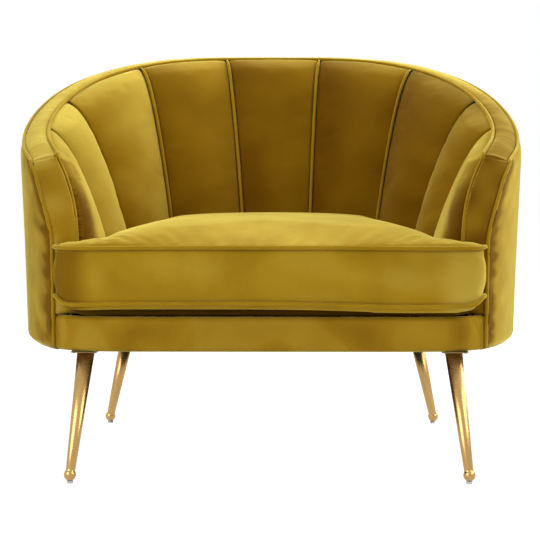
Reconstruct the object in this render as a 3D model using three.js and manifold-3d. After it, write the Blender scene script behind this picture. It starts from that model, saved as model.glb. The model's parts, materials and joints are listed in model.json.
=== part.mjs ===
// A wide upholstered tub chair with a channelled back, a loose T-shaped seat cushion
// and four splayed metal legs. Millimetres, +Z up, the front faces -Y, +X is to the right.
import * as THREE from "three";
import { mergeVertices } from "three/addons/utils/BufferGeometryUtils.js";
import Module from "manifold-3d";

const wasm = await Module();
wasm.setup();

// Driving dimensions
// Clearance between pieces that touch
const clearance = 0.3;
const paddingClearance = 0.6;
const pipingClearance = 0.8;

// The tub seen from above: a half ellipse behind its widest line, carried forward to the arm fronts
const tubHalfWidth = 431;
const tubBackDepth = 430;
const tubFrontReach = 397;
const wallTaper = 13;
const frontTaperShare = 0.1;
const coverThickness = 3;
const undersideHeight = 206;
const hemRadius = 3;

// Arm fronts, measured forward from the widest line
const armFrontReach = 234;
const armTopSetback = 66;
const armBendHeight = 380;
const facingThickness = 9;
const facingCrown = 2.5;

// The rim, at the centre line of its two pipings
const outerBackHeight = 711.5;
const outerArmHeight = 507;
const rimBackRise = 3;
const rimArmRise = 13;
const rimWidth = 46;
const outerPipingInset = 4;
const bandHalfThickness = 4;
const bandCrown = 4;
const bandNoseRadius = 3;
const pipingRadius = 3;

// How the rim falls from the back to the arms
const outerSweep = { endAngle: 120, bendShare: 1.515 };
const innerSweep = { endAngle: 125, bendShare: 1.37 };

// Inside of the tub at seat level, measured in from its outside
const sidePadding = 141;
const backPadding = 161;
const armFrontThickness = 44;
const seatRise = 8.5;
const flareShare = 0.55;

// Channels and the panel behind them
const seamAngles = [14.2, 44.2, 76, 94.8];
const seamLeanShares = [0.13, 0.041, 0.148, 0.06];
const channelCrown = 15;
const channelRimCrown = 7;
const grooveDepth = 4;
const grooveHalfWidth = 7;
const weltRadius = 2.8;
const weltCount = 4;
const paddingShare = 0.42;
const armPaddingShare = 0.22;
const panelThickness = 4;
const deckClearance = 1.5;

// Timber frame; the rear corners of the seat rails lie just inside the padding, at an angle
const baseThickness = 18;
const openingFrontInset = 12;
const railCornerAngle = 36;
const railThickness = 22;
const railHeight = 34;
const blockSize = 60;
const blockThickness = 22;
const hoopDepth = 42;
const postWidth = 34;
const postThickness = 26;
const armPostThickness = 24;
const uprightAngles = [-62, -22, 22, 62];

// Webbing, deck and dust cover
const webbingGap = 31;
const webbingThickness = 2;
const webbingCount = 5;
const webbingLanding = 20;
const deckThickness = 11;
const deckOverhang = 18;
const deckEarInset = 26;
const dustCoverThickness = 1.5;
const dustCoverMargin = 14;

// Front rail cover, which stands forward of the arm fronts
const railCoverOverhang = 36;
const railCoverThickness = 12;
const railCoverRise = 2;
const railCoverEdgeRadius = 5;
const railEndPowerShare = 14;

// Seat cushion, which stands forward of the arm fronts; its ears end inside the arms' outsides
const cushionOverhang = 51;
const cushionEarInset = 8;
const cushionEarCornerRadius = 26;
const cushionNotchRadius = 9;
const cushionPipingRise = 11;
const cushionWallHeight = 86.5;
const cushionCrownRise = 39.5;
const cushionWallPull = 3;
const cushionCrownBack = 60;
const cushionPipingInset = 2;
const crownPowerShare = 4;

// Legs: the front ones are set in from the arms' outsides and stand forward of the arm fronts,
// and the rear ones are set in from the tub's sides and back
const frontFootInset = 32;
const frontFootOverhang = 47;
const frontLegTopInset = 55.5;
const frontLegTopOverhang = 7;
const rearFootInset = 113.5;
const rearFootBackInset = 207;
const rearLegTopInset = 162.5;
const rearLegTopBackInset = 254;
const legTopRadius = 14.2;
const neckRadius = 7.4;
const neckHeight = 25;
const ballRadius = 9.7;
const ballHeight = 13.5;
const glideThickness = 4;
const glideRadius = 5;
const plateSize = 46;
const plateThickness = 3;

// Smoothness of the curved pieces
const stationsPerChannel = 4;
const pipingSides = 6;
const legSides = 16;
const ballSteps = 7;
const solverSteps = 8;
const armRowsBelow = 2;
const armRowsAbove = 6;
const seatBackSteps = 12;
const seatCornerSteps = 3;
const railCoverSteps = 18;

// The rim band across its width, and the turns of the nose as shares of half a circle
const bandShares = [
  { across: 0, crown: 0 },
  { across: 0.25, crown: 0.8 },
  { across: 0.5, crown: 1 },
  { across: 0.75, crown: 0.8 },
  { across: 1, crown: 0 },
];
const noseTurnShares = [0.15, 0.3, 0.45];
const coverWaistShare = 0.42;

// Heights of a channel's rows, as shares of its rise; the seat level is one of them
const seatLevelShare = 0.3;
const rowShares = [0, 0.15, 0.3, 0.36, 0.45, 0.56, 0.68, 0.8, 0.91, 1];

// Points along the seat's sides and front, and rings of the cushion's underside and crown
const seatSideShares = [0.3, 0.6];
const seatFrontShares = [0.75, 0.5, 0.25, 0];
const undersideShares = [0.5, 0.97];
const crownShares = [0.96, 0.88, 0.74, 0.56, 0.36, 0.15];
const coreEarShare = 0.15;
const miterLimitShare = 0.5;
const squareShare = 0.4;
const armBendPowerShare = 1.35;
const railCornerShare = 0.985;
const frontRailShare = 0.665;
const railShoulderShare = 0.8;
const uprightShares = [0, 0.45, 0.9, 1];

// Worked out from the driving dimensions
const innerBackHeight = outerBackHeight + rimBackRise;
const innerArmHeight = outerArmHeight + rimArmRise;
const seatHalfWidth = tubHalfWidth - sidePadding;
const seatBackDepth = tubBackDepth - backPadding;
const armFrontHalfWidth = tubHalfWidth * Math.sqrt(1 - (armFrontReach / tubFrontReach) ** 2);
const armSplay = armFrontHalfWidth - armFrontThickness - seatHalfWidth;
const railCorner = THREE.MathUtils.degToRad(railCornerAngle);
const railsHalfWidth = railCornerShare * (seatHalfWidth - channelCrown) * Math.cos(railCorner);
const railsBack = railCornerShare * (seatBackDepth - channelCrown) * Math.sin(railCorner);
const openingHalfWidth = railsHalfWidth - railThickness;
const openingFront = armFrontReach - openingFrontInset;
const openingBack = railsBack - railThickness;
const frontRailHalfLength = armFrontHalfWidth * frontRailShare;
const railCoverReach = armFrontReach + railCoverOverhang;
const frontFoot = {
  across: armFrontHalfWidth - frontFootInset,
  forward: armFrontReach + frontFootOverhang,
};
const frontLegTop = {
  across: armFrontHalfWidth - frontLegTopInset,
  forward: armFrontReach + frontLegTopOverhang,
};
const rearFoot = {
  across: tubHalfWidth - rearFootInset,
  forward: rearFootBackInset - tubBackDepth,
};
const rearLegTop = {
  across: tubHalfWidth - rearLegTopInset,
  forward: rearLegTopBackInset - tubBackDepth,
};
const plateTop = undersideHeight - clearance;
const legTop = plateTop - plateThickness - clearance;
const dustCoverTop = undersideHeight + dustCoverThickness;
const baseHeight = dustCoverTop + clearance;
const baseTop = baseHeight + baseThickness;
const railBottom = baseTop + clearance;
const railTop = railBottom + railHeight;
const webbingBottom = railTop + clearance;
const deckBottom = webbingBottom + webbingThickness + clearance;
const deckTop = deckBottom + deckThickness;
const cushionBottom = deckTop + clearance;
const cushionPipingLow = cushionBottom + cushionPipingRise;
const cushionPipingHigh = cushionPipingLow + cushionWallHeight;
const cushionCrownHeight = cushionPipingHigh + cushionCrownRise;
const seatLevel = cushionPipingHigh + seatRise;
const railCoverTop = railTop + railCoverRise;
const channelBottom = railBottom;
const pipingRoom = 2 * pipingRadius + pipingClearance;
const frontTimberReach = railCoverReach - railCoverThickness - paddingClearance;

const radians = THREE.MathUtils.degToRad;
const mix = THREE.MathUtils.lerp;
const limit = THREE.MathUtils.clamp;

// The materials, one for each finish
const finishes = {
  velvet: { color: 0xa07a18, roughness: 0.85, metalness: 0 },
  cushionVelvet: { color: 0xad8a2a, roughness: 0.85, metalness: 0 },
  metal: { color: 0xc79a55, roughness: 0.32, metalness: 1 },
  timber: { color: 0xc8a878, roughness: 0.7, metalness: 0 },
  webbing: { color: 0x2b2b2b, roughness: 0.9, metalness: 0 },
  lining: { color: 0x1c1c1c, roughness: 0.95, metalness: 0 },
  glide: { color: 0xe6e4de, roughness: 0.35, metalness: 0 },
  steel: { color: 0x9a9a98, roughness: 0.4, metalness: 1 },
};

const chair = new THREE.Group();

function addPiece(name, geometry, finish) {
  const mesh = new THREE.Mesh(geometry, new THREE.MeshStandardMaterial(finishes[finish]));
  mesh.name = name;
  chair.add(mesh);
  return mesh;
}

// Closed solids from rings of points

// The triangles that close a ring, laid in a zigzag between its two halves. A ring either
// starts on its own line of symmetry or is two rows of points, one out and one back.
function capTriangles(count, startsOnAxis) {
  const triangles = [];
  let low = 0;
  let high = count - 1;
  if (startsOnAxis) {
    triangles.push([0, 1, high]);
    low = 1;
  }
  while (high - low > 1) {
    triangles.push([low, low + 1, high]);
    low += 1;
    if (high - low > 1) {
      triangles.push([low, high - 1, high]);
      high -= 1;
    }
  }
  return triangles;
}

// A solid that passes through rings with equal numbers of points, closed at both ends.
function loft(rings, startsOnAxis = false) {
  const count = rings[0].length;
  const positions = rings.flatMap((ring) => ring.flatMap((p) => [p.x, p.y, p.z]));
  const index = [];
  for (let k = 0; k < rings.length - 1; k++) {
    for (let i = 0; i < count; i++) {
      const a = k * count + i;
      const b = k * count + ((i + 1) % count);
      index.push(a, b, b + count);
      index.push(a, b + count, a + count);
    }
  }
  const last = (rings.length - 1) * count;
  capTriangles(count, startsOnAxis).forEach(([a, b, c]) => {
    index.push(a, c, b);
    index.push(last + a, last + b, last + c);
  });
  const geometry = new THREE.BufferGeometry();
  geometry.setAttribute("position", new THREE.Float32BufferAttribute(positions, 3));
  geometry.setIndex(index);
  return facingOut(geometry);
}

function signedVolume(geometry) {
  const p = geometry.getAttribute("position");
  const index = geometry.getIndex();
  const [a, b, c] = [new THREE.Vector3(), new THREE.Vector3(), new THREE.Vector3()];
  let sum = 0;
  for (let i = 0; i < index.count; i += 3) {
    a.fromBufferAttribute(p, index.getX(i));
    b.fromBufferAttribute(p, index.getX(i + 1));
    c.fromBufferAttribute(p, index.getX(i + 2));
    sum += a.dot(b.cross(c));
  }
  return sum;
}

// Turns every face round where the rings ran the other way.
function facingOut(geometry) {
  if (signedVolume(geometry) < 0) {
    const array = geometry.getIndex().array;
    for (let i = 0; i < array.length; i += 3) {
      [array[i + 1], array[i + 2]] = [array[i + 2], array[i + 1]];
    }
  }
  geometry.computeVertexNormals();
  return geometry;
}

// An upright block whose outline is drawn from above.
function plate(points, holes, bottom, height) {
  const shape = new THREE.Shape(points);
  holes.forEach((hole) => shape.holes.push(new THREE.Path(hole)));
  const geometry = new THREE.ExtrudeGeometry(shape, { depth: height, bevelEnabled: false });
  return geometry.translate(0, 0, bottom);
}

// A curve whose even steps land on its own points.
class SteppedCurve extends THREE.CatmullRomCurve3 {
  getUtoTmapping(share) {
    return share;
  }
}

// A round cord of piping that turns at each of the points given.
function piping(points, radius) {
  const section = new THREE.Shape();
  section.absarc(0, 0, radius, 0, 2 * Math.PI);
  const outline = new THREE.Shape(section.getSpacedPoints(pipingSides).slice(0, pipingSides));
  return new THREE.ExtrudeGeometry(outline, {
    steps: points.length - 1,
    bevelEnabled: false,
    extrudePath: new SteppedCurve(points, false, "centripetal"),
  });
}

// Cutting and joining
function asManifold(geometry) {
  const bare = geometry.clone();
  bare.deleteAttribute("normal");
  bare.deleteAttribute("uv");
  const merged = mergeVertices(bare);
  const vertProperties = Float32Array.from(merged.getAttribute("position").array);
  const triVerts = Uint32Array.from(merged.getIndex().array);
  return new wasm.Manifold(new wasm.Mesh({ numProp: 3, vertProperties, triVerts }));
}

function asGeometry(manifold) {
  const mesh = manifold.getMesh();
  const geometry = new THREE.BufferGeometry();
  geometry.setAttribute("position", new THREE.BufferAttribute(mesh.vertProperties, 3));
  geometry.setIndex(new THREE.BufferAttribute(mesh.triVerts, 1));
  geometry.computeVertexNormals();
  return geometry;
}

// The form of the tub

// A point on the tub's plan curve, moved in from the outside; angle 0 is the middle of the back.
function planPoint(angle, inset) {
  const reach = Math.cos(angle) >= 0 ? tubBackDepth : tubFrontReach;
  const x = tubHalfWidth * Math.sin(angle);
  const y = reach * Math.cos(angle);
  const normal = new THREE.Vector2(x / tubHalfWidth ** 2, y / reach ** 2).normalize();
  return new THREE.Vector2(x - inset * normal.x, y - inset * normal.y);
}

// The rim's height at an angle: level at the back, then falling in one easy curve to the arms.
function rimHeight(angle, backHeight, armHeight, sweep) {
  const turn = Math.abs(THREE.MathUtils.radToDeg(angle)) / sweep.endAngle;
  const fall = (1 - Math.cos(Math.PI * Math.min(turn, 1) ** sweep.bendShare)) / 2;
  return mix(backHeight, armHeight, fall);
}

function outerRim(angle) {
  return rimHeight(angle, outerBackHeight, outerArmHeight, outerSweep);
}

function innerRim(angle) {
  return rimHeight(angle, innerBackHeight, innerArmHeight, innerSweep);
}

// The middle surface of the rim band, from the outside edge across to the inner piping.
function rimAt(angle, inset) {
  return mix(outerRim(angle), innerRim(angle), limit(inset / rimWidth, 0, 1));
}

// How far forward an angle lies, from the widest line at 0 to the arm fronts at 1.
function forwardShare(angle) {
  return limit((-Math.cos(angle) * tubFrontReach) / armFrontReach, 0, 1);
}

// How far the outside leans in below the shoulder: hardly at all at the arm fronts.
function taperAt(z, angle) {
  const drop = limit((outerArmHeight - z) / (outerArmHeight - undersideHeight), 0, 1);
  return wallTaper * drop * mix(1, frontTaperShare, forwardShare(angle));
}

function frontTaper(z) {
  return taperAt(z, Math.PI);
}

// How far forward an arm front stands at a height, from the widest line.
function armReach(z) {
  const bend = limit((z - armBendHeight) / (outerArmHeight - armBendHeight), 0, 1);
  return armFrontReach - armTopSetback * bend ** armBendPowerShare;
}

// The angle at which the plan curve reaches a distance forward.
function angleAtReach(forward) {
  return Math.acos(limit(-forward / tubFrontReach, -1, 1));
}

// The angle at which a line of the right-hand wall stands a given distance forward of the
// widest line; place(angle) gives the line's points.
function frontAngle(forward, place) {
  let reach = forward;
  for (let i = 0; i < solverSteps; i++) {
    reach += forward + place(angleAtReach(reach)).y;
  }
  return angleAtReach(reach);
}

// The rim and the padding end less squarely across an arm: part of the way to that angle.
function endAngle(forward, place) {
  return mix(angleAtReach(forward), frontAngle(forward, place), squareShare);
}

function sidePoint(forward, inset) {
  const line = (angle) => planPoint(angle, inset);
  return line(frontAngle(forward, line));
}

// The inside surface of the tub, before the channels swell out of it.
function insidePoint(angle, z) {
  const top = innerRim(angle);
  const forward = forwardShare(angle);
  const drop = limit((top - z) / (top - seatLevel), 0, 1) ** mix(flareShare, 1, forward);
  const rim = planPoint(angle, rimWidth);
  const reach = Math.cos(angle) >= 0 ? seatBackDepth : tubFrontReach;
  const across = Math.cos(angle) >= 0 ? Math.abs(Math.sin(angle)) : 1;
  const x = Math.sign(Math.sin(angle)) * (seatHalfWidth * across + armSplay * forward);
  const y = reach * Math.cos(angle);
  return new THREE.Vector2(mix(rim.x, x, drop), mix(rim.y, y, drop));
}

// The surface that the padding lies on, a share of the way from the inside to the outside.
function backingPoint(angle, z, extra) {
  const inside = insidePoint(angle, z);
  const outside = planPoint(angle, 0);
  const wall = inside.distanceTo(outside);
  const share = mix(paddingShare, armPaddingShare, forwardShare(angle));
  return inside.clone().lerp(outside, share + extra / wall);
}

function at(plan, z) {
  return new THREE.Vector3(plan.x, plan.y, z);
}

// Boundaries between the nine channels, in radians, from the left arm to the right.
// Each seam leans towards the middle of the back as it goes down.
function seamAngle(index, rise) {
  const middle = seamAngles.length;
  if (index === 0 || index === 2 * middle + 1) {
    return null;
  }
  const left = index <= middle;
  const k = left ? middle - index : index - middle - 1;
  const lean = 1 - seamLeanShares[k] * (1 - rise);
  return (left ? -1 : 1) * radians(seamAngles[k]) * lean;
}

// How far the pieces below the band's nose draw back, more towards the arm's top.
function noseSetback(z) {
  const span = 4 * pipingRoom;
  return pipingRoom * limit((z - outerArmHeight + span) / span, 0, 1);
}

// The angle where a surface of the padding stops behind an arm front.
function paddingEndAngle(z, surface) {
  const setback = facingThickness + pipingClearance + 2 * noseSetback(z);
  return endAngle(armReach(z) - setback, (angle) => surface(angle, z));
}

const channelCount = 2 * seamAngles.length + 1;

function boundaryAngle(index, rise, z, surface) {
  const seam = seamAngle(index, rise);
  if (seam !== null) {
    return seam;
  }
  return (index === 0 ? -1 : 1) * paddingEndAngle(z, surface);
}

// Height of the padding's top at an angle and inset: just under the rim band.
function paddingTop(angle, inset) {
  return rimAt(angle, inset) - bandHalfThickness - 3 * paddingClearance;
}

// Rows of a channel run from the base ring up to the rim band.
function rowHeight(angle, rise, inset) {
  if (rise <= seatLevelShare) {
    return mix(channelBottom, seatLevel, rise / seatLevelShare);
  }
  return mix(seatLevel, paddingTop(angle, inset), (rise - seatLevelShare) / (1 - seatLevelShare));
}

// Outer cover and rim

const stationCount = channelCount * stationsPerChannel;

// Angles along the whole tub at a height, from the left arm front to the right.
function stationAngle(step, end) {
  const share = (2 * step) / stationCount - 1;
  return share * end;
}

function outerCover() {
  const rings = [];
  for (let step = 0; step <= stationCount; step++) {
    const ring = [];
    const heights = (angle) => {
      const top = outerRim(angle) - pipingRadius - 2 * pipingClearance;
      return [
        { z: undersideHeight, inset: hemRadius },
        { z: undersideHeight + hemRadius, inset: 0 },
        { z: armBendHeight, inset: 0 },
        { z: mix(armBendHeight, top - 3 * hemRadius, coverWaistShare), inset: 0 },
        { z: top - 7 * hemRadius, inset: 0 },
        { z: top - 2 * hemRadius, inset: coverThickness / 2 },
        { z: top, inset: outerPipingInset - coverThickness / 2 },
      ];
    };
    const place = (z, inset) => {
      const angle = stationAngle(step, angleAtReach(armReach(z) - pipingRoom - noseSetback(z)));
      return at(planPoint(angle, inset + taperAt(z, angle)), z);
    };
    const rimAngle = stationAngle(step, angleAtReach(armReach(outerArmHeight) - pipingRoom));
    const outside = heights(rimAngle);
    outside.forEach(({ z, inset }) => ring.push(place(z, inset)));
    outside.reverse().forEach(({ z, inset }) => ring.push(place(z, inset + coverThickness)));
    rings.push(ring);
  }
  return loft(rings);
}

// Where the band starts to roll over the arm fronts, and the turns of that roll.
const bandNoseReach = bandNoseRadius + 2 * bandHalfThickness;
const noseTurns = noseTurnShares.map((share) => share * Math.PI);

function bandEndAngle(inset) {
  const line = (angle) => planPoint(angle, inset);
  return endAngle(armReach(outerArmHeight) - bandNoseReach, line);
}

// A point of the nose: it swings round a line just under the band's end.
function nosePoint(side, inset, rise, turn) {
  const end = bandEndAngle(inset);
  const plan = planPoint(side * end, inset);
  const arm = rise + bandHalfThickness + bandNoseRadius;
  const pivot = rimAt(end, inset) - bandHalfThickness - bandNoseRadius;
  return new THREE.Vector3(plan.x, plan.y - arm * Math.sin(turn), pivot + arm * Math.cos(turn));
}

// The padded band on the rim, with a nose that rolls over each arm front.
function rimBand() {
  const low = outerPipingInset + pipingRadius + pipingClearance;
  const high = rimWidth - pipingRadius - pipingClearance;
  const top = bandShares.map(({ across, crown }) => {
    return { inset: mix(low, high, across), rise: bandHalfThickness + crown * bandCrown };
  });
  const section = [
    { inset: low, rise: -bandHalfThickness },
    ...top,
    { inset: high, rise: -bandHalfThickness },
  ];
  const nose = (side, turn) => section.map(({ inset, rise }) => nosePoint(side, inset, rise, turn));
  const rings = noseTurns.toReversed().map((turn) => nose(-1, turn));
  for (let step = 0; step <= stationCount; step++) {
    const place = ({ inset, rise }) => {
      const angle = stationAngle(step, bandEndAngle(inset));
      return at(planPoint(angle, inset), rimAt(angle, inset) + rise);
    };
    rings.push(section.map(place));
  }
  noseTurns.forEach((turn) => rings.push(nose(1, turn)));
  return loft(rings);
}

// Heights of the rows of an arm front: even below the bend, even again above it.
function armRows(bottom, top) {
  const rows = [];
  for (let i = 0; i < armRowsBelow; i++) {
    rows.push(mix(bottom, armBendHeight, i / armRowsBelow));
  }
  for (let i = 0; i <= armRowsAbove; i++) {
    rows.push(mix(armBendHeight, top, i / armRowsAbove));
  }
  return rows;
}

function outerEdgePlan(side, z) {
  const point = sidePoint(armReach(z) - pipingRadius, pipingRadius + frontTaper(z));
  return new THREE.Vector2(side * point.x, point.y);
}

function innerEdgePlan(side, z) {
  const line = (angle) => insidePoint(angle, z);
  const inside = line(endAngle(armReach(z) - pipingRadius, line));
  return new THREE.Vector2(side * (inside.x + pipingRadius), inside.y);
}

// Piping along the rim, over the band's nose and down both arm fronts.
function edgePiping(inset, bottom, edgePlan) {
  const end = bandEndAngle(inset);
  const top = rimAt(end, inset) - bandNoseReach - pipingRoom;
  const side = (sign) => {
    const edge = armRows(bottom, top).map((z) => at(edgePlan(sign, z), z));
    const nose = noseTurns.toReversed().map((turn) => nosePoint(sign, inset, 0, turn));
    return [...edge, ...nose];
  };
  const rim = [];
  for (let step = 0; step <= stationCount; step++) {
    const angle = stationAngle(step, end);
    rim.push(at(planPoint(angle, inset), rimAt(angle, inset)));
  }
  return piping([...side(-1), ...rim, ...side(1).reverse()], pipingRadius);
}

function outerPiping() {
  return edgePiping(outerPipingInset, undersideHeight + pipingRadius, outerEdgePlan);
}

function innerPiping() {
  return edgePiping(rimWidth, railCoverTop + clearance, innerEdgePlan);
}

// The upholstered front of an arm, between its two pipings: flat behind, crowned in front,
// with a top that slopes as the rim does.
function armFacing(side) {
  const bottom = railCoverTop + clearance;
  const noseGap = bandHalfThickness + bandNoseRadius + pipingClearance;
  const endHeight = (inset) => rimAt(bandEndAngle(inset), inset) - noseGap;
  const innerRows = armRows(bottom, endHeight(rimWidth - pipingRoom));
  const outerRows = armRows(bottom, endHeight(pipingRoom));
  const rings = innerRows.map((innerZ, row) => {
    const outerZ = outerRows[row];
    const inner = innerEdgePlan(1, innerZ).x + pipingRoom - pipingRadius;
    const outer = sidePoint(armReach(outerZ), pipingRoom + frontTaper(outerZ)).x;
    const point = (x, z, raised) => new THREE.Vector3(side * x, -(armReach(z) + raised), z);
    return [
      point(inner, innerZ, -facingThickness),
      point(inner, innerZ, 0),
      point((inner + outer) / 2, (innerZ + outerZ) / 2, facingCrown),
      point(outer, outerZ, 0),
      point(outer, outerZ, -facingThickness),
    ];
  });
  return loft(rings);
}

// Back channels

// How far a channel swells at a share of its width: full in the middle, less towards the seams.
function swell(across, rise) {
  const crown = mix(channelCrown, channelRimCrown, limit(2 * rise - 1, 0, 1));
  return crown * Math.sqrt(Math.sin(Math.PI * across));
}

function boundaryMix(index, across, rise, z, surface) {
  const near = boundaryAngle(index, rise, z, surface);
  const far = boundaryAngle(index + 1, rise, z, surface);
  return mix(near, far, across);
}

// A point of a channel at a share of its width and rise, raised off the inside surface.
function facePoint(index, across, rise, raised) {
  const z = rowHeight(boundaryMix(index, across, rise, seatLevel, insidePoint), rise, rimWidth);
  const angle = boundaryMix(index, across, rise, z, insidePoint);
  const inside = insidePoint(angle, z);
  const inward = inside.clone().sub(planPoint(angle, 0)).normalize();
  return at(inside.addScaledVector(inward, raised), z);
}

// A point behind a channel, a distance further out than the padding's back.
function backingAt(index, across, rise, beyond) {
  const inset = rimWidth * (1 - paddingShare) - beyond;
  const surface = (angle, z) => backingPoint(angle, z, beyond);
  const z = rowHeight(boundaryMix(index, across, rise, seatLevel, surface), rise, inset);
  return at(surface(boundaryMix(index, across, rise, z, surface), z), z);
}

// A channel is a padded strip: flat facets behind, a crowned face in front, and a groove at
// each seam.
function backChannel(index) {
  const rings = rowShares.map((rise) => {
    const width = facePoint(index, 0, rise, 0).distanceTo(facePoint(index, 1, rise, 0));
    const seamShare = paddingClearance / width;
    const grooveShare = grooveHalfWidth / width;
    const across = [seamShare, grooveShare];
    for (let i = 1; i < stationsPerChannel; i++) {
      across.push(i / stationsPerChannel);
    }
    across.push(1 - grooveShare, 1 - seamShare);
    const last = across.length - 1;
    const front = across.map((share, i) => {
      const raised = i === 0 || i === last ? -grooveDepth : swell(share, rise);
      return facePoint(index, share, rise, raised);
    });
    const behind = across.map((share) => {
      const cell = Math.min(Math.floor(share * stationsPerChannel), stationsPerChannel - 1);
      const near = backingAt(index, cell / stationsPerChannel, rise, 0);
      const far = backingAt(index, (cell + 1) / stationsPerChannel, rise, 0);
      return near.lerp(far, share * stationsPerChannel - cell);
    });
    return [...behind, ...front.reverse()];
  });
  return loft(rings);
}

// The curved panel that the channels are laid on.
function backPanel() {
  const rings = rowShares.map((rise) => {
    const near = [];
    const far = [];
    for (let index = 0; index < channelCount; index++) {
      for (let i = index === 0 ? 0 : 1; i <= stationsPerChannel; i++) {
        const across = i / stationsPerChannel;
        near.push(backingAt(index, across, rise, 3 * paddingClearance));
        far.push(backingAt(index, across, rise, 3 * paddingClearance + panelThickness));
      }
    }
    return [...far, ...near.reverse()];
  });
  return loft(rings);
}

// A narrow welt lying in a seam between two channels.
function seamWelt(index) {
  const rises = rowShares.slice(2).map((rise) => Math.min(rise, 1 - pipingClearance / rimWidth));
  return piping(rises.map((rise) => facePoint(index, 0, rise, weltRadius / 2)), weltRadius);
}

// Seat cushion and deck

function arc(centreX, centreY, radiusX, radiusY, from, to, count) {
  const points = [];
  for (let i = 0; i <= count; i++) {
    const turn = mix(from, to, i / count);
    points.push([centreX + radiusX * Math.cos(turn), centreY + radiusY * Math.sin(turn)]);
  }
  return points;
}

// Right half of a T-shaped outline, from the middle of the back round to the middle of the front.
function seatOutline({ gap, frontReach, earHalfWidth, cornerRadius, notchRadius }) {
  const half = [];
  const quarter = Math.PI / 2;
  const halfWidth = seatHalfWidth - gap;
  const earBack = armFrontReach + facingCrown + deckClearance;
  const waist = seatHalfWidth + armSplay - gap;
  for (const [x, y] of arc(0, 0, halfWidth, seatBackDepth - gap, quarter, 0, seatBackSteps)) {
    half.push([x, y]);
  }
  for (const share of seatSideShares) {
    half.push([mix(halfWidth, waist, share), -share * (earBack - notchRadius)]);
  }
  const corner = (x, y, radius, from, to) => {
    half.push(...arc(x, y, radius, radius, from, to, seatCornerSteps));
  };
  corner(waist + notchRadius, -(earBack - notchRadius), notchRadius, 2 * quarter, 3 * quarter);
  corner(earHalfWidth - notchRadius, -(earBack + notchRadius), notchRadius, quarter, 0);
  const cornerX = earHalfWidth - cornerRadius;
  corner(cornerX, -(frontReach - cornerRadius), cornerRadius, 0, -quarter);
  for (const share of seatFrontShares) {
    half.push([share * cornerX, -frontReach]);
  }
  const inner = half.slice(1, -1);
  const mirrored = inner.toReversed().map(([x, y]) => [-x, y]);
  return [...half, ...mirrored].map(([x, y]) => new THREE.Vector2(x, y));
}

// An outline moved in by a distance, corner by corner.
function insetOutline(outline, inset) {
  const count = outline.length;
  return outline.map((point, i) => {
    const before = outline[(i + count - 1) % count];
    const after = outline[(i + 1) % count];
    const a = point.clone().sub(before).normalize();
    const b = after.clone().sub(point).normalize();
    const normal = new THREE.Vector2(a.y + b.y, -(a.x + b.x)).normalize();
    const miter = Math.max(miterLimitShare, normal.x * b.y - normal.y * b.x);
    return point.clone().addScaledVector(normal, inset / miter);
  });
}

const cushionOutline = seatOutline({
  gap: channelCrown + deckClearance,
  frontReach: armFrontReach + cushionOverhang,
  earHalfWidth: armFrontHalfWidth - cushionEarInset,
  cornerRadius: cushionEarCornerRadius,
  notchRadius: cushionNotchRadius,
});

// The cushion's cover, filled: a flat underside, drawn-in walls and a crowned top. Its rings
// step in from the T outline to a core with much smaller ears, and then shrink to the crown.
function seatCushion() {
  const centre = new THREE.Vector2(0, cushionCrownBack);
  const level = (inset, z) => insetOutline(cushionOutline, inset).map((p) => at(p, z));
  const coreHalfWidth = seatHalfWidth - 2 * channelCrown;
  const core = insetOutline(cushionOutline, 3 * pipingRadius);
  core.forEach((p) => p.setX(mix(limit(p.x, -coreHalfWidth, coreHalfWidth), p.x, coreEarShare)));
  const towards = (share, z) => core.map((p) => at(centre.clone().lerp(p, share), z));
  const rebate = cushionPipingInset + pipingRadius + pipingClearance;
  const lip = pipingRadius + pipingClearance;
  const edge = cushionPipingHigh + lip;
  const rings = [
    ...undersideShares.map((share) => towards(share, cushionBottom)),
    level(rebate + pipingRadius, cushionBottom + clearance),
    level(rebate, cushionPipingLow - lip),
    level(rebate, cushionPipingLow + lip / 2),
    level(clearance, cushionPipingLow + lip + clearance),
    level(cushionWallPull, (cushionPipingLow + cushionPipingHigh) / 2),
    level(clearance, cushionPipingHigh - lip - clearance),
    level(rebate, cushionPipingHigh - lip / 2),
    level(rebate, edge),
  ];
  for (const share of crownShares) {
    rings.push(towards(share, mix(edge, cushionCrownHeight, 1 - share ** crownPowerShare)));
  }
  return loft(rings, true);
}

// Piping round the cushion, with its join in the middle of the back.
function cushionPiping(z) {
  const line = insetOutline(cushionOutline, cushionPipingInset).map((p) => at(p, z));
  const first = line[0];
  const start = first.clone().lerp(line[1], clearance / first.distanceTo(line[1]));
  return piping([start, ...line.slice(1), first], pipingRadius);
}

function deckPad() {
  const outline = seatOutline({
    gap: channelCrown + deckClearance,
    frontReach: armFrontReach + deckOverhang,
    earHalfWidth: armFrontHalfWidth - deckEarInset,
    cornerRadius: deckOverhang / 3,
    notchRadius: deckOverhang / 3,
  });
  const levels = [deckBottom, deckTop];
  return loft(levels.map((z) => outline.map((p) => at(p, z))), true);
}

// Front rail cover

// The cover's line seen from above, a depth inside its face, from one rounded end to the other.
function railCoverLine(depth) {
  const endReach = armFrontReach - pipingRadius;
  const end = sidePoint(endReach, pipingRoom + frontTaper(undersideHeight)).x - depth;
  const points = [];
  for (let i = 0; i <= railCoverSteps; i++) {
    const share = -Math.cos((Math.PI * i) / railCoverSteps);
    const fall = Math.abs(share) ** railEndPowerShare;
    points.push(new THREE.Vector2(end * share, -mix(railCoverReach - depth, endReach, fall)));
  }
  return points;
}

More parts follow.
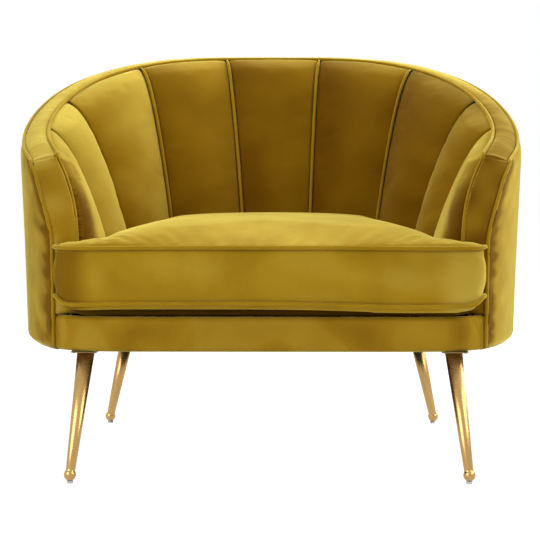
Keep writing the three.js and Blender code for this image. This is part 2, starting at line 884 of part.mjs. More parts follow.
function frontRailCover() {
  const level = (inset, z) => {
    const outside = railCoverLine(inset);
    const inside = railCoverLine(railCoverThickness).reverse();
    return [...outside, ...inside].map((p) => at(p, z));
  };
  return loft([
    level(railCoverEdgeRadius / 2, undersideHeight),
    level(0, undersideHeight + railCoverEdgeRadius),
    level(0, railCoverTop - railCoverEdgeRadius),
    level(railCoverEdgeRadius / 2, railCoverTop - railCoverEdgeRadius / 4),
    level(railCoverEdgeRadius, railCoverTop),
  ]);
}

// Timber frame

// The curved back edge of the base ring, drawn in at its ends, then its straight front.
function baseOutline(inset) {
  const points = [];
  const end = angleAtReach(armFrontReach - pipingRoom);
  const hem = undersideHeight + hemRadius - baseHeight;
  for (let step = 0; step <= stationCount; step++) {
    const angle = stationAngle(step, end);
    const wall = taperAt(baseHeight, angle) + coverThickness + hem + 2 * clearance;
    const endInset = step === 0 || step === stationCount ? railCoverThickness : 0;
    points.push(planPoint(angle, wall + inset + endInset));
  }
  const front = frontTimberReach - inset;
  const shoulder = armFrontHalfWidth * railShoulderShare;
  points.push(new THREE.Vector2(shoulder, -(front - railThickness / 3)));
  points.push(new THREE.Vector2(frontRailHalfLength, -front));
  points.push(new THREE.Vector2(-frontRailHalfLength, -front));
  points.push(new THREE.Vector2(-shoulder, -(front - railThickness / 3)));
  return points;
}

function openingOutline() {
  return [
    new THREE.Vector2(-openingHalfWidth, -openingFront),
    new THREE.Vector2(openingHalfWidth, -openingFront),
    new THREE.Vector2(openingHalfWidth, openingBack),
    new THREE.Vector2(-openingHalfWidth, openingBack),
  ];
}

function block(lowX, highX, lowY, highY, bottom, height) {
  const box = new THREE.BoxGeometry(highX - lowX, highY - lowY, height);
  return box.translate((lowX + highX) / 2, (lowY + highY) / 2, bottom + height / 2);
}

function addRails() {
  const front = frontTimberReach;
  const reach = frontRailHalfLength;
  const outside = railsHalfWidth;
  const rails = {
    seat_rail_front: [-reach, reach, -front, -openingFront],
    seat_rail_rear: [-outside, outside, openingBack, railsBack],
  };
  for (const [side, name] of [[-1, "left"], [1, "right"]]) {
    const sides = [side * openingHalfWidth, side * outside].sort((a, b) => a - b);
    rails[`seat_rail_${name}`] = [...sides, -openingFront + clearance, openingBack - clearance];
  }
  for (const [name, [lowX, highX, lowY, highY]] of Object.entries(rails)) {
    addPiece(name, block(lowX, highX, lowY, highY, railBottom, railHeight), "timber");
  }
}

// Triangular blocks glued into the corners of the seat rails.
function addCornerBlocks() {
  for (const [across, sideName] of [[-1, "left"], [1, "right"]]) {
    for (const [along, endName] of [[-1, "front"], [1, "rear"]]) {
      const x = across * (openingHalfWidth - clearance);
      const y = along < 0 ? -openingFront + clearance : openingBack - clearance;
      const corner = [
        new THREE.Vector2(x, y),
        new THREE.Vector2(x - across * blockSize, y),
        new THREE.Vector2(x, y - along * blockSize),
      ];
      const solid = plate(corner, [], railTop - blockThickness, blockThickness);
      addPiece(`corner_block_${endName}_${sideName}`, solid, "timber");
    }
  }
}

function addWebbing() {
  const webbingWidth = (2 * openingHalfWidth - (webbingCount - 1) * webbingGap) / webbingCount;
  const span = 2 * openingHalfWidth - webbingWidth;
  for (let i = 0; i < webbingCount; i++) {
    const x = mix(-span / 2, span / 2, i / (webbingCount - 1));
    const low = -openingFront - webbingLanding;
    const high = openingBack + webbingLanding;
    const left = x - webbingWidth / 2;
    const strap = block(left, left + webbingWidth, low, high, webbingBottom, webbingThickness);
    addPiece(`seat_webbing_${i + 1}`, strap, "webbing");
  }
}

// The hoop's section: its outer and inner faces, moved in from the tub's outside.
const hoopOutside = 2 * coverThickness + paddingClearance;
const hoopInside = rimWidth * (1 - paddingShare) - panelThickness - 4 * paddingClearance;

function hoopTop(angle, inset) {
  return rimAt(angle, inset) - bandHalfThickness - paddingClearance;
}

function hoopUnderside(angle) {
  return hoopTop(angle, hoopOutside) - hoopDepth;
}

// The bent hoop under the rim band, against the outer cover and the back panel.
function topHoop() {
  const rings = [];
  for (let step = 0; step <= stationCount; step++) {
    const outside = stationAngle(step, bandEndAngle(hoopOutside));
    const inside = stationAngle(step, bandEndAngle(hoopInside));
    const taper = taperAt(hoopUnderside(outside), outside);
    rings.push([
      at(planPoint(outside, hoopOutside + taper), hoopUnderside(outside)),
      at(planPoint(outside, hoopOutside), outerRim(outside) - 2 * pipingRoom),
      at(planPoint(inside, hoopInside), hoopTop(inside, hoopInside)),
      at(planPoint(inside, hoopInside), hoopUnderside(inside)),
    ]);
  }
  return loft(rings);
}

// A timber upright inside the cover, from the base ring to the hoop.
function upright(angleDegrees) {
  const middle = radians(angleDegrees);
  const halfAngle = postWidth / 2 / tubHalfWidth;
  const rings = uprightShares.map((share) => {
    const corner = (angle, depth) => {
      const top = hoopUnderside(angle) - 2 * paddingClearance;
      const z = mix(railBottom, top, share);
      return at(planPoint(angle, hoopOutside + taperAt(z, angle) + depth), z);
    };
    const depth = share < 1 ? postThickness * (1 - share / 2) : hoopInside - hoopOutside;
    return [
      corner(middle - halfAngle, 0),
      corner(middle + halfAngle, 0),
      corner(middle + halfAngle, depth),
      corner(middle - halfAngle, depth),
    ];
  });
  return loft(rings);
}

// The post behind an arm facing, from the base ring up to the hoop's end.
function armPost(side) {
  const top = hoopUnderside(bandEndAngle(hoopOutside)) - paddingClearance;
  const rings = [railBottom, armBendHeight, top].map((z) => {
    const front = armReach(z) - facingThickness - 2 * paddingClearance;
    const back = front - armPostThickness;
    const beyond = panelThickness + 5 * paddingClearance;
    const panel = (angle) => backingPoint(angle, z, beyond);
    const panelAt = (reach) => panel(frontAngle(reach, panel)).x;
    const inner = side * Math.max(panelAt(front), panelAt(back));
    const outer = side * sidePoint(front, hoopOutside + frontTaper(z)).x;
    return [
      new THREE.Vector3(inner, -front, z),
      new THREE.Vector3(outer, -front, z),
      new THREE.Vector3(outer, -back, z),
      new THREE.Vector3(inner, -back, z),
    ];
  });
  return loft(rings);
}

// Legs

// The turned profile, from the foot's tip up: a ball, a neck and a long taper.
function legProfile(length) {
  const profile = [new THREE.Vector2(0, ballHeight - ballRadius)];
  const neckTurn = Math.asin(neckRadius / ballRadius);
  for (let i = 1; i <= ballSteps; i++) {
    const turn = ((Math.PI - neckTurn) * i) / ballSteps;
    const height = ballHeight - ballRadius * Math.cos(turn);
    profile.push(new THREE.Vector2(ballRadius * Math.sin(turn), height));
  }
  profile.push(new THREE.Vector2(neckRadius, neckHeight));
  profile.push(new THREE.Vector2(legTopRadius, length));
  profile.push(new THREE.Vector2(0, length));
  return profile;
}

function leg(side, foot, top) {
  const low = new THREE.Vector3(side * foot.across, -foot.forward, 0);
  const high = new THREE.Vector3(side * top.across, -top.forward, legTop);
  const run = high.clone().sub(low);
  const overrun = legTopRadius;
  const turned = new THREE.LatheGeometry(legProfile(run.length() + overrun), legSides);
  const upright = new THREE.Vector3(0, 1, 0);
  turned.applyQuaternion(new THREE.Quaternion().setFromUnitVectors(upright, run.clone().normalize()));
  turned.translate(low.x, low.y, low.z);
  const reach = 2 * run.length();
  const above = new THREE.BoxGeometry(reach, reach, 2 * overrun);
  above.translate(low.x, low.y, legTop + overrun);
  const below = new THREE.BoxGeometry(reach, reach, overrun);
  below.translate(low.x, low.y, glideThickness + clearance - overrun / 2);
  const cut = asManifold(turned).subtract(asManifold(above)).subtract(asManifold(below));
  return asGeometry(cut);
}

function glide(side, foot, top) {
  const lean = ballHeight / legTop;
  const x = side * mix(foot.across, top.across, lean);
  const y = -mix(foot.forward, top.forward, lean);
  const disc = new THREE.CylinderGeometry(glideRadius, glideRadius, glideThickness, legSides);
  disc.rotateX(Math.PI / 2);
  return disc.translate(x, y, glideThickness / 2);
}

function legPlate(side, top) {
  const half = plateSize / 2;
  const x = side * top.across;
  const y = -top.forward;
  return block(x - half, x + half, y - half, y + half, plateTop - plateThickness, plateThickness);
}

const legEnds = [
  ["front", frontFoot, frontLegTop],
  ["rear", rearFoot, rearLegTop],
];

function addLegs() {
  for (const [side, sideName] of [[-1, "left"], [1, "right"]]) {
    for (const [endName, foot, top] of legEnds) {
      const place = `${endName}_${sideName}`;
      addPiece(`leg_${place}`, leg(side, foot, top), "metal");
      addPiece(`glide_${place}`, glide(side, foot, top), "glide");
      addPiece(`leg_plate_${place}`, legPlate(side, top), "steel");
    }
  }
}

// Assembly

addPiece("outer_cover", outerCover(), "velvet");
addPiece("rim_band", rimBand(), "velvet");
addPiece("outer_piping", outerPiping(), "velvet");
addPiece("inner_piping", innerPiping(), "velvet");
addPiece("arm_facing_left", armFacing(-1), "velvet");
addPiece("arm_facing_right", armFacing(1), "velvet");
for (let index = 0; index < channelCount; index++) {
  addPiece(`back_channel_${index + 1}`, backChannel(index), "velvet");
}
for (let i = 0; i < weltCount; i++) {
  const seam = (channelCount - weltCount + 1) / 2 + i;
  addPiece(`seam_welt_${i + 1}`, seamWelt(seam), "velvet");
}
addPiece("front_rail_cover", frontRailCover(), "velvet");
addPiece("seat_cushion", seatCushion(), "cushionVelvet");
addPiece("cushion_piping_top", cushionPiping(cushionPipingHigh), "cushionVelvet");
addPiece("cushion_piping_bottom", cushionPiping(cushionPipingLow), "cushionVelvet");
addPiece("deck_pad", deckPad(), "lining");
addPiece("base_ring", plate(baseOutline(0), [openingOutline()], baseHeight, baseThickness), "timber");
addPiece(
  "dust_cover",
  plate(baseOutline(dustCoverMargin), [], dustCoverTop - dustCoverThickness, dustCoverThickness),
  "lining",
);
addPiece("back_panel", backPanel(), "timber");
addPiece("top_hoop", topHoop(), "timber");
uprightAngles.forEach((angle, i) => addPiece(`upright_${i + 1}`, upright(angle), "timber"));
addPiece("arm_post_left", armPost(-1), "timber");
addPiece("arm_post_right", armPost(1), "timber");
addRails();
addCornerBlocks();
addWebbing();
addLegs();

// The origin is on the floor, under the middle of the chair.
const box = new THREE.Box3().setFromObject(chair);
chair.position.set(-(box.min.x + box.max.x) / 2, -(box.min.y + box.max.y) / 2, -box.min.z);

export default chair;
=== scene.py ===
# %% [markdown]
# # A scallop back tub chair in mustard velvet
#
# The chair is one wide tub: its back and arms are a single sweep, padded inside in nine upright
# channels. A piped band caps the rim, a loose T-shaped cushion lies on the deck, and four splayed
# legs of satin brass carry it. The lesson dresses the plain solids of the chair with cloth, cord
# and metal, one piece at a time, each in the place that its solid holds.

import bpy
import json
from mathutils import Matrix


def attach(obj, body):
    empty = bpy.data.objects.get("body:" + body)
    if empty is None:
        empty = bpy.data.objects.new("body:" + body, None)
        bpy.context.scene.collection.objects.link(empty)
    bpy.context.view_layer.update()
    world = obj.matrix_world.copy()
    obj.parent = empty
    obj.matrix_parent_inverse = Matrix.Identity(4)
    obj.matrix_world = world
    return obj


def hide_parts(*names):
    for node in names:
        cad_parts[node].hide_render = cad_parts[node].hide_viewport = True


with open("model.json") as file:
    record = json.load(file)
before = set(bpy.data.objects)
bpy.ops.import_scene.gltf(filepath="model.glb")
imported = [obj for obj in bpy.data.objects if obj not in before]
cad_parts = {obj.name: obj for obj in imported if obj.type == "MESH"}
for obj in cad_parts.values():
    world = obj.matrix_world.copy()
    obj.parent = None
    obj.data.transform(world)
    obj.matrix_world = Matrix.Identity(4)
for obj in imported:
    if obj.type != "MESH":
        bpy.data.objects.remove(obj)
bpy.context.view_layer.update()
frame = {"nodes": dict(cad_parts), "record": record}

# %% [markdown]
# ## The camera
#
# The photograph was taken from a little above seat height, slightly to the right of the middle, with
# a long lens from about two and a half metres. With the camera in first, every piece can be checked
# against the picture as soon as it is made.

# %% Camera
import json
import math

import bmesh
import bpy
from mathutils import Matrix, Vector, noise

tilt_down, turn_left = math.radians(4.402), math.radians(0.454)
scene = bpy.context.scene
camera_data = bpy.data.cameras.new("photo_camera")
camera_data.lens = 88.3
camera_data.sensor_width = 36
camera = bpy.data.objects.new("photo_camera", camera_data)
camera.location = (0.0172, -2.404, 0.495)
camera.rotation_euler = (math.pi / 2 - tilt_down, 0, turn_left)
scene.collection.objects.link(camera)
scene.camera = camera
print("camera looks from", tuple(camera.location))

# %% [markdown]
# ## The form of the tub
#
# Seen from above the tub is a half ellipse, carried forward to the arm fronts. Its rim is level at
# the back and falls in one easy curve to the arms. These few functions give any point of that form,
# so that the cloth, the padding and the piping all follow the same lines. An angle of 0 is the
# middle of the back, and a reach is a distance forward of the tub's widest line.

# %% The tub's plan and rim
half_width, back_depth, front_reach = 0.431, 0.430, 0.397
widest_y = -0.071
wall_taper, front_taper_share = 0.013, 0.1
underside = 0.206
arm_front, arm_setback, arm_bend, arm_bend_power = 0.234, 0.066, 0.380, 1.35
outer_back_height, outer_arm_height = 0.7115, 0.507
outer_fall_end, outer_fall_power = 120, 1.515
inner_back_height, inner_arm_height = 0.7145, 0.520
inner_fall_end, inner_fall_power = 125, 1.37
droop_reach, droop_depth = 0.060, 0.008
nose_height = 0.027
rim_width, outer_inset = 0.046, 0.004
cord_radius = 0.003
seat_half_width, seat_back_depth, arm_splay = 0.290, 0.269, 0.0142
seat_level = 0.380
square_share = 0.4
search_rounds = 8


def mix(a, b, share):
    return a + (b - a) * share


def limit(value, low=0.0, high=1.0):
    return max(low, min(high, value))


def ease(value):
    value = limit(value)
    return value * value * (3 - 2 * value)


def fading(distance, reach):
    """1 at no distance, and much less once the distance passes the reach."""
    return math.exp(-distance / reach)


def bell(distance, reach):
    """Like fading, but it stays near 1 at first and is the same on both sides."""
    return math.exp(-((distance / reach) ** 2))


def plan_point(angle, inset=0.0):
    """A point of the tub seen from above."""
    reach = back_depth if math.cos(angle) >= 0 else front_reach
    x, y = half_width * math.sin(angle), reach * math.cos(angle)
    normal = Vector((x / half_width**2, y / reach**2)).normalized()
    return Vector((x, y)) - inset * normal


def rim_height(angle, back, arm, end, power):
    """Level at the back, falling to the arms, with a small droop over the arm fronts."""
    turn = limit(abs(math.degrees(angle)) / end)
    droop = limit(1 - (arm_front - arm_setback + math.cos(angle) * front_reach) / droop_reach)
    return mix(back, arm, (1 - math.cos(math.pi * turn**power)) / 2) - droop_depth * droop**2


def outer_rim(angle):
    return rim_height(angle, outer_back_height, outer_arm_height, outer_fall_end, outer_fall_power)


def inner_rim(angle):
    return rim_height(angle, inner_back_height, inner_arm_height, inner_fall_end, inner_fall_power)


def rim_at(angle, inset):
    return mix(outer_rim(angle), inner_rim(angle), limit(inset / rim_width))


def forward_share(angle):
    return limit(-math.cos(angle) * front_reach / arm_front)


def into_nose(z):
    """From 0 below the nose of the arm to 1 at its top."""
    return limit((z - outer_arm_height + nose_height) / nose_height)


def taper(z, angle=math.pi):
    """How far the outside leans in below the shoulder; hardly at all at the arm fronts."""
    drop = limit((outer_arm_height - z) / (outer_arm_height - underside))
    return wall_taper * drop * mix(1, front_taper_share, forward_share(angle))


def arm_reach(z):
    """How far forward an arm front stands at a height."""
    bend = limit((z - arm_bend) / (outer_arm_height - arm_bend))
    return arm_front - arm_setback * bend**arm_bend_power


def angle_at(reach):
    return math.acos(limit(-reach / front_reach, -1, 1))


def front_angle(reach, place):
    """The angle at which the points of place(angle) come a given distance forward."""
    forward = reach
    for _ in range(search_rounds):
        forward += reach + place(angle_at(forward)).y
    return angle_at(forward)


def side_angle(reach, inset):
    return front_angle(reach, lambda angle: plan_point(angle, inset))


def end_angle(reach, place):
    """Where the rim and the padding end: part of the way to a square cut across the arm."""
    return mix(angle_at(reach), front_angle(reach, place), square_share)


def side_point(reach, inset):
    """The point of the right-hand wall that stands a given distance forward."""
    return plan_point(side_angle(reach, inset), inset)


def at(plan, z):
    return Vector((plan.x, plan.y + widest_y, z))


print("rim height at the back and at the arms:", outer_rim(0), outer_rim(math.radians(115)))

# %% [markdown]
# ## The inside of the tub
#
# Below the rim the inside flares: it comes in quickly under the piping and is nearly upright at the
# cushion. The seams between the channels fan out over it, and nearly all lean a little towards the
# middle as they go down. They are sewn by hand, so the two sides differ slightly. Each is given by
# its angle at the rim, in degrees from the middle of the back, and by its lean.

# %% Inside surface and seams
left_seams = [(13.9, 0.25), (42.4, 0.035), (76, 0.148), (94.8, 0.01)]
right_seams = [(14.6, -0.04), (45.4, 0.045), (76, 0.148), (94.8, 0.05)]
channel_count = 9
middle_channel = channel_count // 2
channel_bottom, channel_rise = 0.262, 0.0005
seat_share = 0.22
flare_power = 0.55
padding_setback, padding_nose_setback = 0.008, 0.0075


def inside_point(angle, z):
    top = inner_rim(angle)
    forward = forward_share(angle)
    drop = limit((top - z) / (top - seat_level)) ** mix(flare_power, 1, forward)
    rim = plan_point(angle, rim_width)
    reach = seat_back_depth if math.cos(angle) >= 0 else front_reach
    across = abs(math.sin(angle)) if math.cos(angle) >= 0 else 1
    x = math.copysign(seat_half_width * across + arm_splay * forward, math.sin(angle))
    return rim.lerp(Vector((x, reach * math.cos(angle))), drop)


def inside_front(z, reach):
    """The angle at which the inside of the tub comes a given distance forward."""
    return end_angle(reach, lambda angle: inside_point(angle, z))


def padding_end(z):
    return inside_front(z, arm_reach(z) - padding_setback - padding_nose_setback * into_nose(z))


def seam_angle(index, rise, z):
    if index in (0, channel_count):
        return padding_end(z) * (-1 if index == 0 else 1)
    left = index <= middle_channel
    angle, seam_lean_and_painted_shading = left_seams[middle_channel - index] if left else right_seams[index - middle_channel - 1]
    return math.radians(angle) * (1 - seam_lean_and_painted_shading * (1 - rise)) * (-1 if left else 1)


def channel_height(angle, rise):
    if rise <= seat_share:
        return mix(channel_bottom, seat_level, rise / seat_share)
    top = inner_rim(angle) + channel_rise
    return mix(seat_level, top, (rise - seat_share) / (1 - seat_share))


def channel_point(index, across, rise, raised_and_painted_highlight):
    """A point on a channel's face, raised off the inside of the tub."""
    angle = mix(seam_angle(index, rise, seat_level), seam_angle(index + 1, rise, seat_level), across)
    z = channel_height(angle, rise)
    angle = mix(seam_angle(index, rise, z), seam_angle(index + 1, rise, z), across)
    inside = inside_point(angle, z)
    inward = (inside - plan_point(angle)).normalized()
    return at(inside + raised_and_painted_highlight * inward, z)


print("seam fan in degrees:", [angle for angle, seam_lean_and_painted_shading in left_seams])

# %% [markdown]
# ## Bending a grid into cloth
#
# Every cloth panel here starts as a flat grid, which is then bent: a small function says where the
# point at each share across and along goes. That keeps the rows of faces running with the seams, as
# the threads of the real cloth do. A panel whose two sides meet becomes a closed pad.

# %% Panels, pads and cords
pad_front_share = 0.75
cord_end_rings, cord_tip = 2, 0.15


def bend_grid(columns, rows, place, hold=None, painted_shading_at=None):
    """A flat grid with each point moved to place(u, v).

    hold(u, v) says how firmly a point is sewn; the last argument gives the light and shade painted at each
    point, shade above 0 and highlight below 0.
    """
    form = bmesh.new()
    bmesh.ops.create_grid(form, x_segments=columns, y_segments=rows, size=0.5, calc_uvs=True)
    held = form.verts.layers.deform.verify() if hold else None
    painted_shading = form.verts.layers.float.new("painted_shading") if painted_shading_at else None
    for vert in form.verts:
        u, v = vert.co.x + 0.5, vert.co.y + 0.5
        if hold:
            vert[held][0] = hold(u, v)
        if painted_shading_at:
            vert[painted_shading] = limit(painted_shading_at(u, v), -1)
        vert.co = place(u, v)
    return form


def close_form(form):
    """Joins a bent grid's meeting sides, fills its ends and turns its faces outwards."""
    bmesh.ops.remove_doubles(form, verts=form.verts, dist=1e-6)
    open_edges = [edge for edge in form.edges if edge.is_boundary]
    if open_edges:
        bmesh.ops.holes_fill(form, edges=open_edges, sides=0)
    bmesh.ops.recalc_face_normals(form, faces=form.faces)


def make_piece(name, form, material):
    for face in form.faces:
        face.smooth = True
    mesh = bpy.data.meshes.new(name)
    form.to_mesh(mesh)
    form.free()
    mesh.materials.append(material)
    piece = bpy.data.objects.new(name, mesh)
    scene.collection.objects.link(piece)
    return piece


def settle(piece, node, body="chair_body"):
    """Hangs a finished piece on its body, in place of the solid that it stands for."""
    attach(piece, body)
    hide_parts(node)
    print(piece.name, len(piece.data.polygons), "faces")


def soften(piece, levels=1):
    finer = piece.modifiers.new("finer", "SUBSURF")
    finer.levels = finer.render_levels = levels


def over_and_back(w, front, back):
    """Goes over a pad's front for the first part of the way, and over its back for the rest."""
    share = pad_front_share
    if w <= share:
        return front(w / share)
    if w >= 1:
        return front(0)
    return back(1 - (w - share) / (1 - share))


def pad_form(columns, rows, front, back, hold=None, painted_shading_at=None):
    """A closed pad, whose first columns are its front; hold and the painted light and shade are for the
    front.
    """
    share = pad_front_share

    def place(u, v):
        return over_and_back(u, lambda across: front(across, v), lambda across: back(across, v))

    def firm(u, v):
        return hold(u / share, v) if u <= share else 1

    def flat(u, v):
        return painted_shading_at(u / share, v) if u <= share else 0

    form = bend_grid(columns, rows, place, firm if hold else None, flat if painted_shading_at else None)
    close_form(form)
    return form


def round_strip(u):
    """Runs once round a flat strip: how far across it is, from -1 to 1, and if it is on top."""
    share = u % 1
    on_top = share < 0.5
    return (4 * share - 1 if on_top else 3 - 4 * share), on_top


def smooth_path(points, rounds):
    """The same path with its corners eased; its ends stay."""
    for _ in range(rounds):
        middle = [(a + 2 * b + c) / 4 for a, b, c in zip(points, points[1:], points[2:])]
        points = [points[0], *middle, points[-1]]
    return points


def path_frames(points):
    """Two directions square to the path at each of its points, without twist."""
    last = len(points) - 1
    along = [(points[min(i + 1, last)] - points[max(i - 1, 0)]).normalized() for i in range(last + 1)]
    side = along[0].orthogonal().normalized()
    frames = []
    for i in range(last + 1):
        if i:
            side.rotate(along[i - 1].rotation_difference(along[i]))
        side = (side - side.dot(along[i]) * along[i]).normalized()
        frames.append((side.copy(), along[i].cross(side)))
    return frames


def cord_form(points, radius, sides=12, loop=False):
    """A round cord along a path; its rounded ends are closed."""
    if loop:
        points = [*points, points[0]]
    print("cord length:", round(sum((b - a).length for a, b in zip(points, points[1:])), 3), "m")
    frames = path_frames(points)
    last = len(points) - 1

    def place(u, v):
        i = round(v * last)
        thin = 1 if loop else math.sqrt(limit(min(i, last - i) / cord_end_rings + cord_tip))
        turn = 2 * math.pi * (u % 1)
        side, up = frames[i]
        return points[i] + radius * thin * (math.cos(turn) * side + math.sin(turn) * up)

    form = bend_grid(sides, last, place)
    close_form(form)
    return form


def fold(point, size, seed=0.0):
    """A smooth unevenness between -1 and 1, with folds about as wide as size."""
    return noise.noise(point / size + Vector((seed, -seed, 2 * seed)))


print("helpers ready")

# %% [markdown]
# ## Building materials
#
# Every finish here is drawn by nodes, so that it runs through the piece at its real scale. These
# helpers add a node and fill its sockets, each with a value or from another node.

# %% Material nodes


def feed(tree, node, inputs):
    for name, value in inputs.items():
        if isinstance(value, bpy.types.NodeSocket):
            tree.links.new(value, node.inputs[name])
        else:
            node.inputs[name].default_value = value


def add_node(tree, kind, inputs, **settings):
    node = tree.nodes.new(kind)
    for name, value in settings.items():
        setattr(node, name, value)
    feed(tree, node, inputs)
    return node


def new_material(name):
    """A new material, its node tree and its shader."""
    material = bpy.data.materials.new(name)
    material.use_nodes = True
    return material, material.node_tree, material.node_tree.nodes["Principled BSDF"]


def object_place(tree, stretch=None):
    """Places on the piece in metres, drawn together along each axis by stretch."""
    place = add_node(tree, "ShaderNodeTexCoord", {}).outputs["Object"]
    if stretch:
        place = add_node(tree, "ShaderNodeMapping", {"Vector": place, "Scale": stretch}).outputs["Vector"]
    return place


def add_noise(tree, place, scale, detail, roughness=0.5, distortion=0.0):
    inputs = {"Vector": place, "Scale": scale, "Detail": detail}
    inputs |= {"Roughness": roughness, "Distortion": distortion}
    return add_node(tree, "ShaderNodeTexNoise", inputs).outputs["Fac"]


def two_tones(tree, share, low, high, low_at=0.0, high_at=1.0):
    ramp = add_node(tree, "ShaderNodeValToRGB", {"Fac": share})
    first, second = ramp.color_ramp.elements
    first.position, second.position = low_at, high_at
    first.color, second.color = (*low, 1), (*high, 1)
    return ramp.outputs["Color"]


def mix_colours(tree, share, a, b, blend="MIX"):
    inputs = {"Factor": share, "A": a, "B": b}
    node = add_node(tree, "ShaderNodeMix", inputs, data_type="RGBA", blend_type=blend)
    return node.outputs["Result"]


def map_share(tree, share, low, high):
    inputs = {"Value": share, "To Min": low, "To Max": high}
    return add_node(tree, "ShaderNodeMapRange", inputs).outputs["Result"]


def add_bump(tree, height, strength, distance, over=None):
    """Small relief on top of the surface, or over another bump."""
    inputs = {"Height": height, "Strength": strength, "Distance": distance}
    if over:
        inputs["Normal"] = over
    return add_node(tree, "ShaderNodeBump", inputs).outputs["Normal"]


def tinted(colour, tint):
    return (*(part * share for part, share in zip(colour, tint)), 1)


print("material nodes ready")

# %% [markdown]
# ## Velvet
#
# Velvet is a dense pile of upright fibres. Seen end on it looks dark, because light sinks between the
# fibres; seen along its surface it glows, because the sides of the fibres catch the light. The
# Principled shader's sheen gives that glow. The pile also leans in patches where a hand has brushed
# it, so soft strokes of a lighter and a deeper tone drift over the cloth, and a fine grain of bumps
# stands for the fibres. A piece may also carry painted light and shade as a value in its points.
# Above 0 it is painted shade: the colour is painted deeper and the glow is weaker. Below 0 it is a
# painted highlight: the colour is painted paler.

# %% Velvet material
# Painted shade deepens the colour by this tint and turns the glow down to this weight; a painted highlight
# pales it by the other tint.
painted_shade_tint, painted_shade_sheen = (0.43, 0.34, 0.25), 0.35
painted_highlight_tint = (1.42, 1.90, 6.5)
stroke_scale, pile_scale, dent_scale = 9, 900, 11
speck_share = 0.25


def velvet(name, deep, pale, glow):
    material, tree, shader = new_material(name)
    place = object_place(tree)
    strokes = add_noise(tree, place, stroke_scale, 4, distortion=0.6)
    pile = add_noise(tree, place, pile_scale, 2)
    dents = add_noise(tree, place, dent_scale, 1.5, 0.4, 0.3)
    painted_shading = add_node(tree, "ShaderNodeAttribute", {}, attribute_name="painted_shading").outputs["Fac"]
    minus = {0: painted_shading, 1: -1}
    raised_and_painted_highlight = add_node(tree, "ShaderNodeMath", minus, operation="MULTIPLY", use_clamp=True).outputs[0]

    colour = two_tones(tree, strokes, deep, pale, 0.32, 0.70)
    colour = mix_colours(tree, speck_share, colour, pile, "MULTIPLY")
    # Painted shade above 0 and painted highlight below 0, mixed into the colour.
    colour = mix_colours(tree, painted_shading, colour, tinted(deep, painted_shade_tint))
    colour = mix_colours(tree, raised_and_painted_highlight, colour, tinted(pale, painted_highlight_tint))
    hollows = add_bump(tree, dents, 0.4, 0.010)
    feed(tree, shader, {
        "Base Color": colour,
        "Roughness": 0.85,
        "Specular IOR Level": 0.03,
        "Sheen Weight": map_share(tree, painted_shading, 1.0, painted_shade_sheen),
        "Sheen Roughness": 0.38,
        "Sheen Tint": (*glow, 1),
        "Normal": add_bump(tree, pile, 0.35, 0.0006, hollows),
    })
    return material


mustard_glow, deck_painted_shade_glow = (1.0, 0.90, 0.22), (0.4, 0.3, 0.08)
tub_cloth = velvet("tub_velvet", (0.380, 0.207, 0.0090), (0.470, 0.270, 0.0140), mustard_glow)
# The channels' velvet is set a little deeper than the tub's: painted shade for the inside of the tub.
channel_cloth_painted_shade = velvet("channel_velvet", (0.345, 0.185, 0.0050), (0.420, 0.235, 0.0090), mustard_glow)
cushion_cloth = velvet("cushion_velvet", (0.410, 0.235, 0.0100), (0.500, 0.300, 0.0160), mustard_glow)
cord_cloth = velvet("piping_velvet", (0.390, 0.215, 0.0070), (0.460, 0.265, 0.0110), mustard_glow)
# The deck's velvet is painted far deeper than the rest and glows little: a painted shade for the gap under
# the cushion.
deck_painted_shade_cloth = velvet("deck_painted_shade_velvet", (0.085, 0.038, 0.0010), (0.110, 0.050, 0.0016), deck_painted_shade_glow)
print("velvets:", [m.name for m in (tub_cloth, channel_cloth_painted_shade, cushion_cloth, cord_cloth, deck_painted_shade_cloth)])

# %% [markdown]
# ## Outer cover
#
# The outside is one length of velvet, drawn round the frame and turned in under it. It is a bent
# grid with a little thickness. Where it is sewn to the piping the cloth gathers in small puckers,
# and the long face has slow, shallow waves. Beside the arm fronts it is crushed, and there its colour
# is painted deeper in uneven patches, more so on the left: partly crushed pile, partly painted shade.
# The whole cover is painted a little deeper too, a painted shade.

# %% Outer cover
cover_thickness = 0.002
cover_sink, cover_lift, cover_inset = 0.0018, 0.0003, 0.003
cover_rim_setback, cover_setback, cover_nose_setback = 0.010, 0.0015, 0.004
hem_height, hem_turn = 0.012, 0.010
shoulder_height, shoulder_turn = 0.016, 0.0045
gather_depth, gather_width, gather_top, gather_hem = 0.0010, 0.017, 0.030, 0.020
wave_depth, wave_width, wave_sink = 0.0010, 0.19, 0.0006
crush_depth, crush_reach = 0.0032, 0.026
shade_strip_reach, shade_strip_fade, shade_strip_rag, patch_reach = 0.008, 0.009, 0.010, 0.05


def from_arm_front(u):
    """Grows along the cover from 0 at the nearer arm front to 0.65 at the middle of the back."""
    return (1 - abs(2 * u - 1)) * 0.65


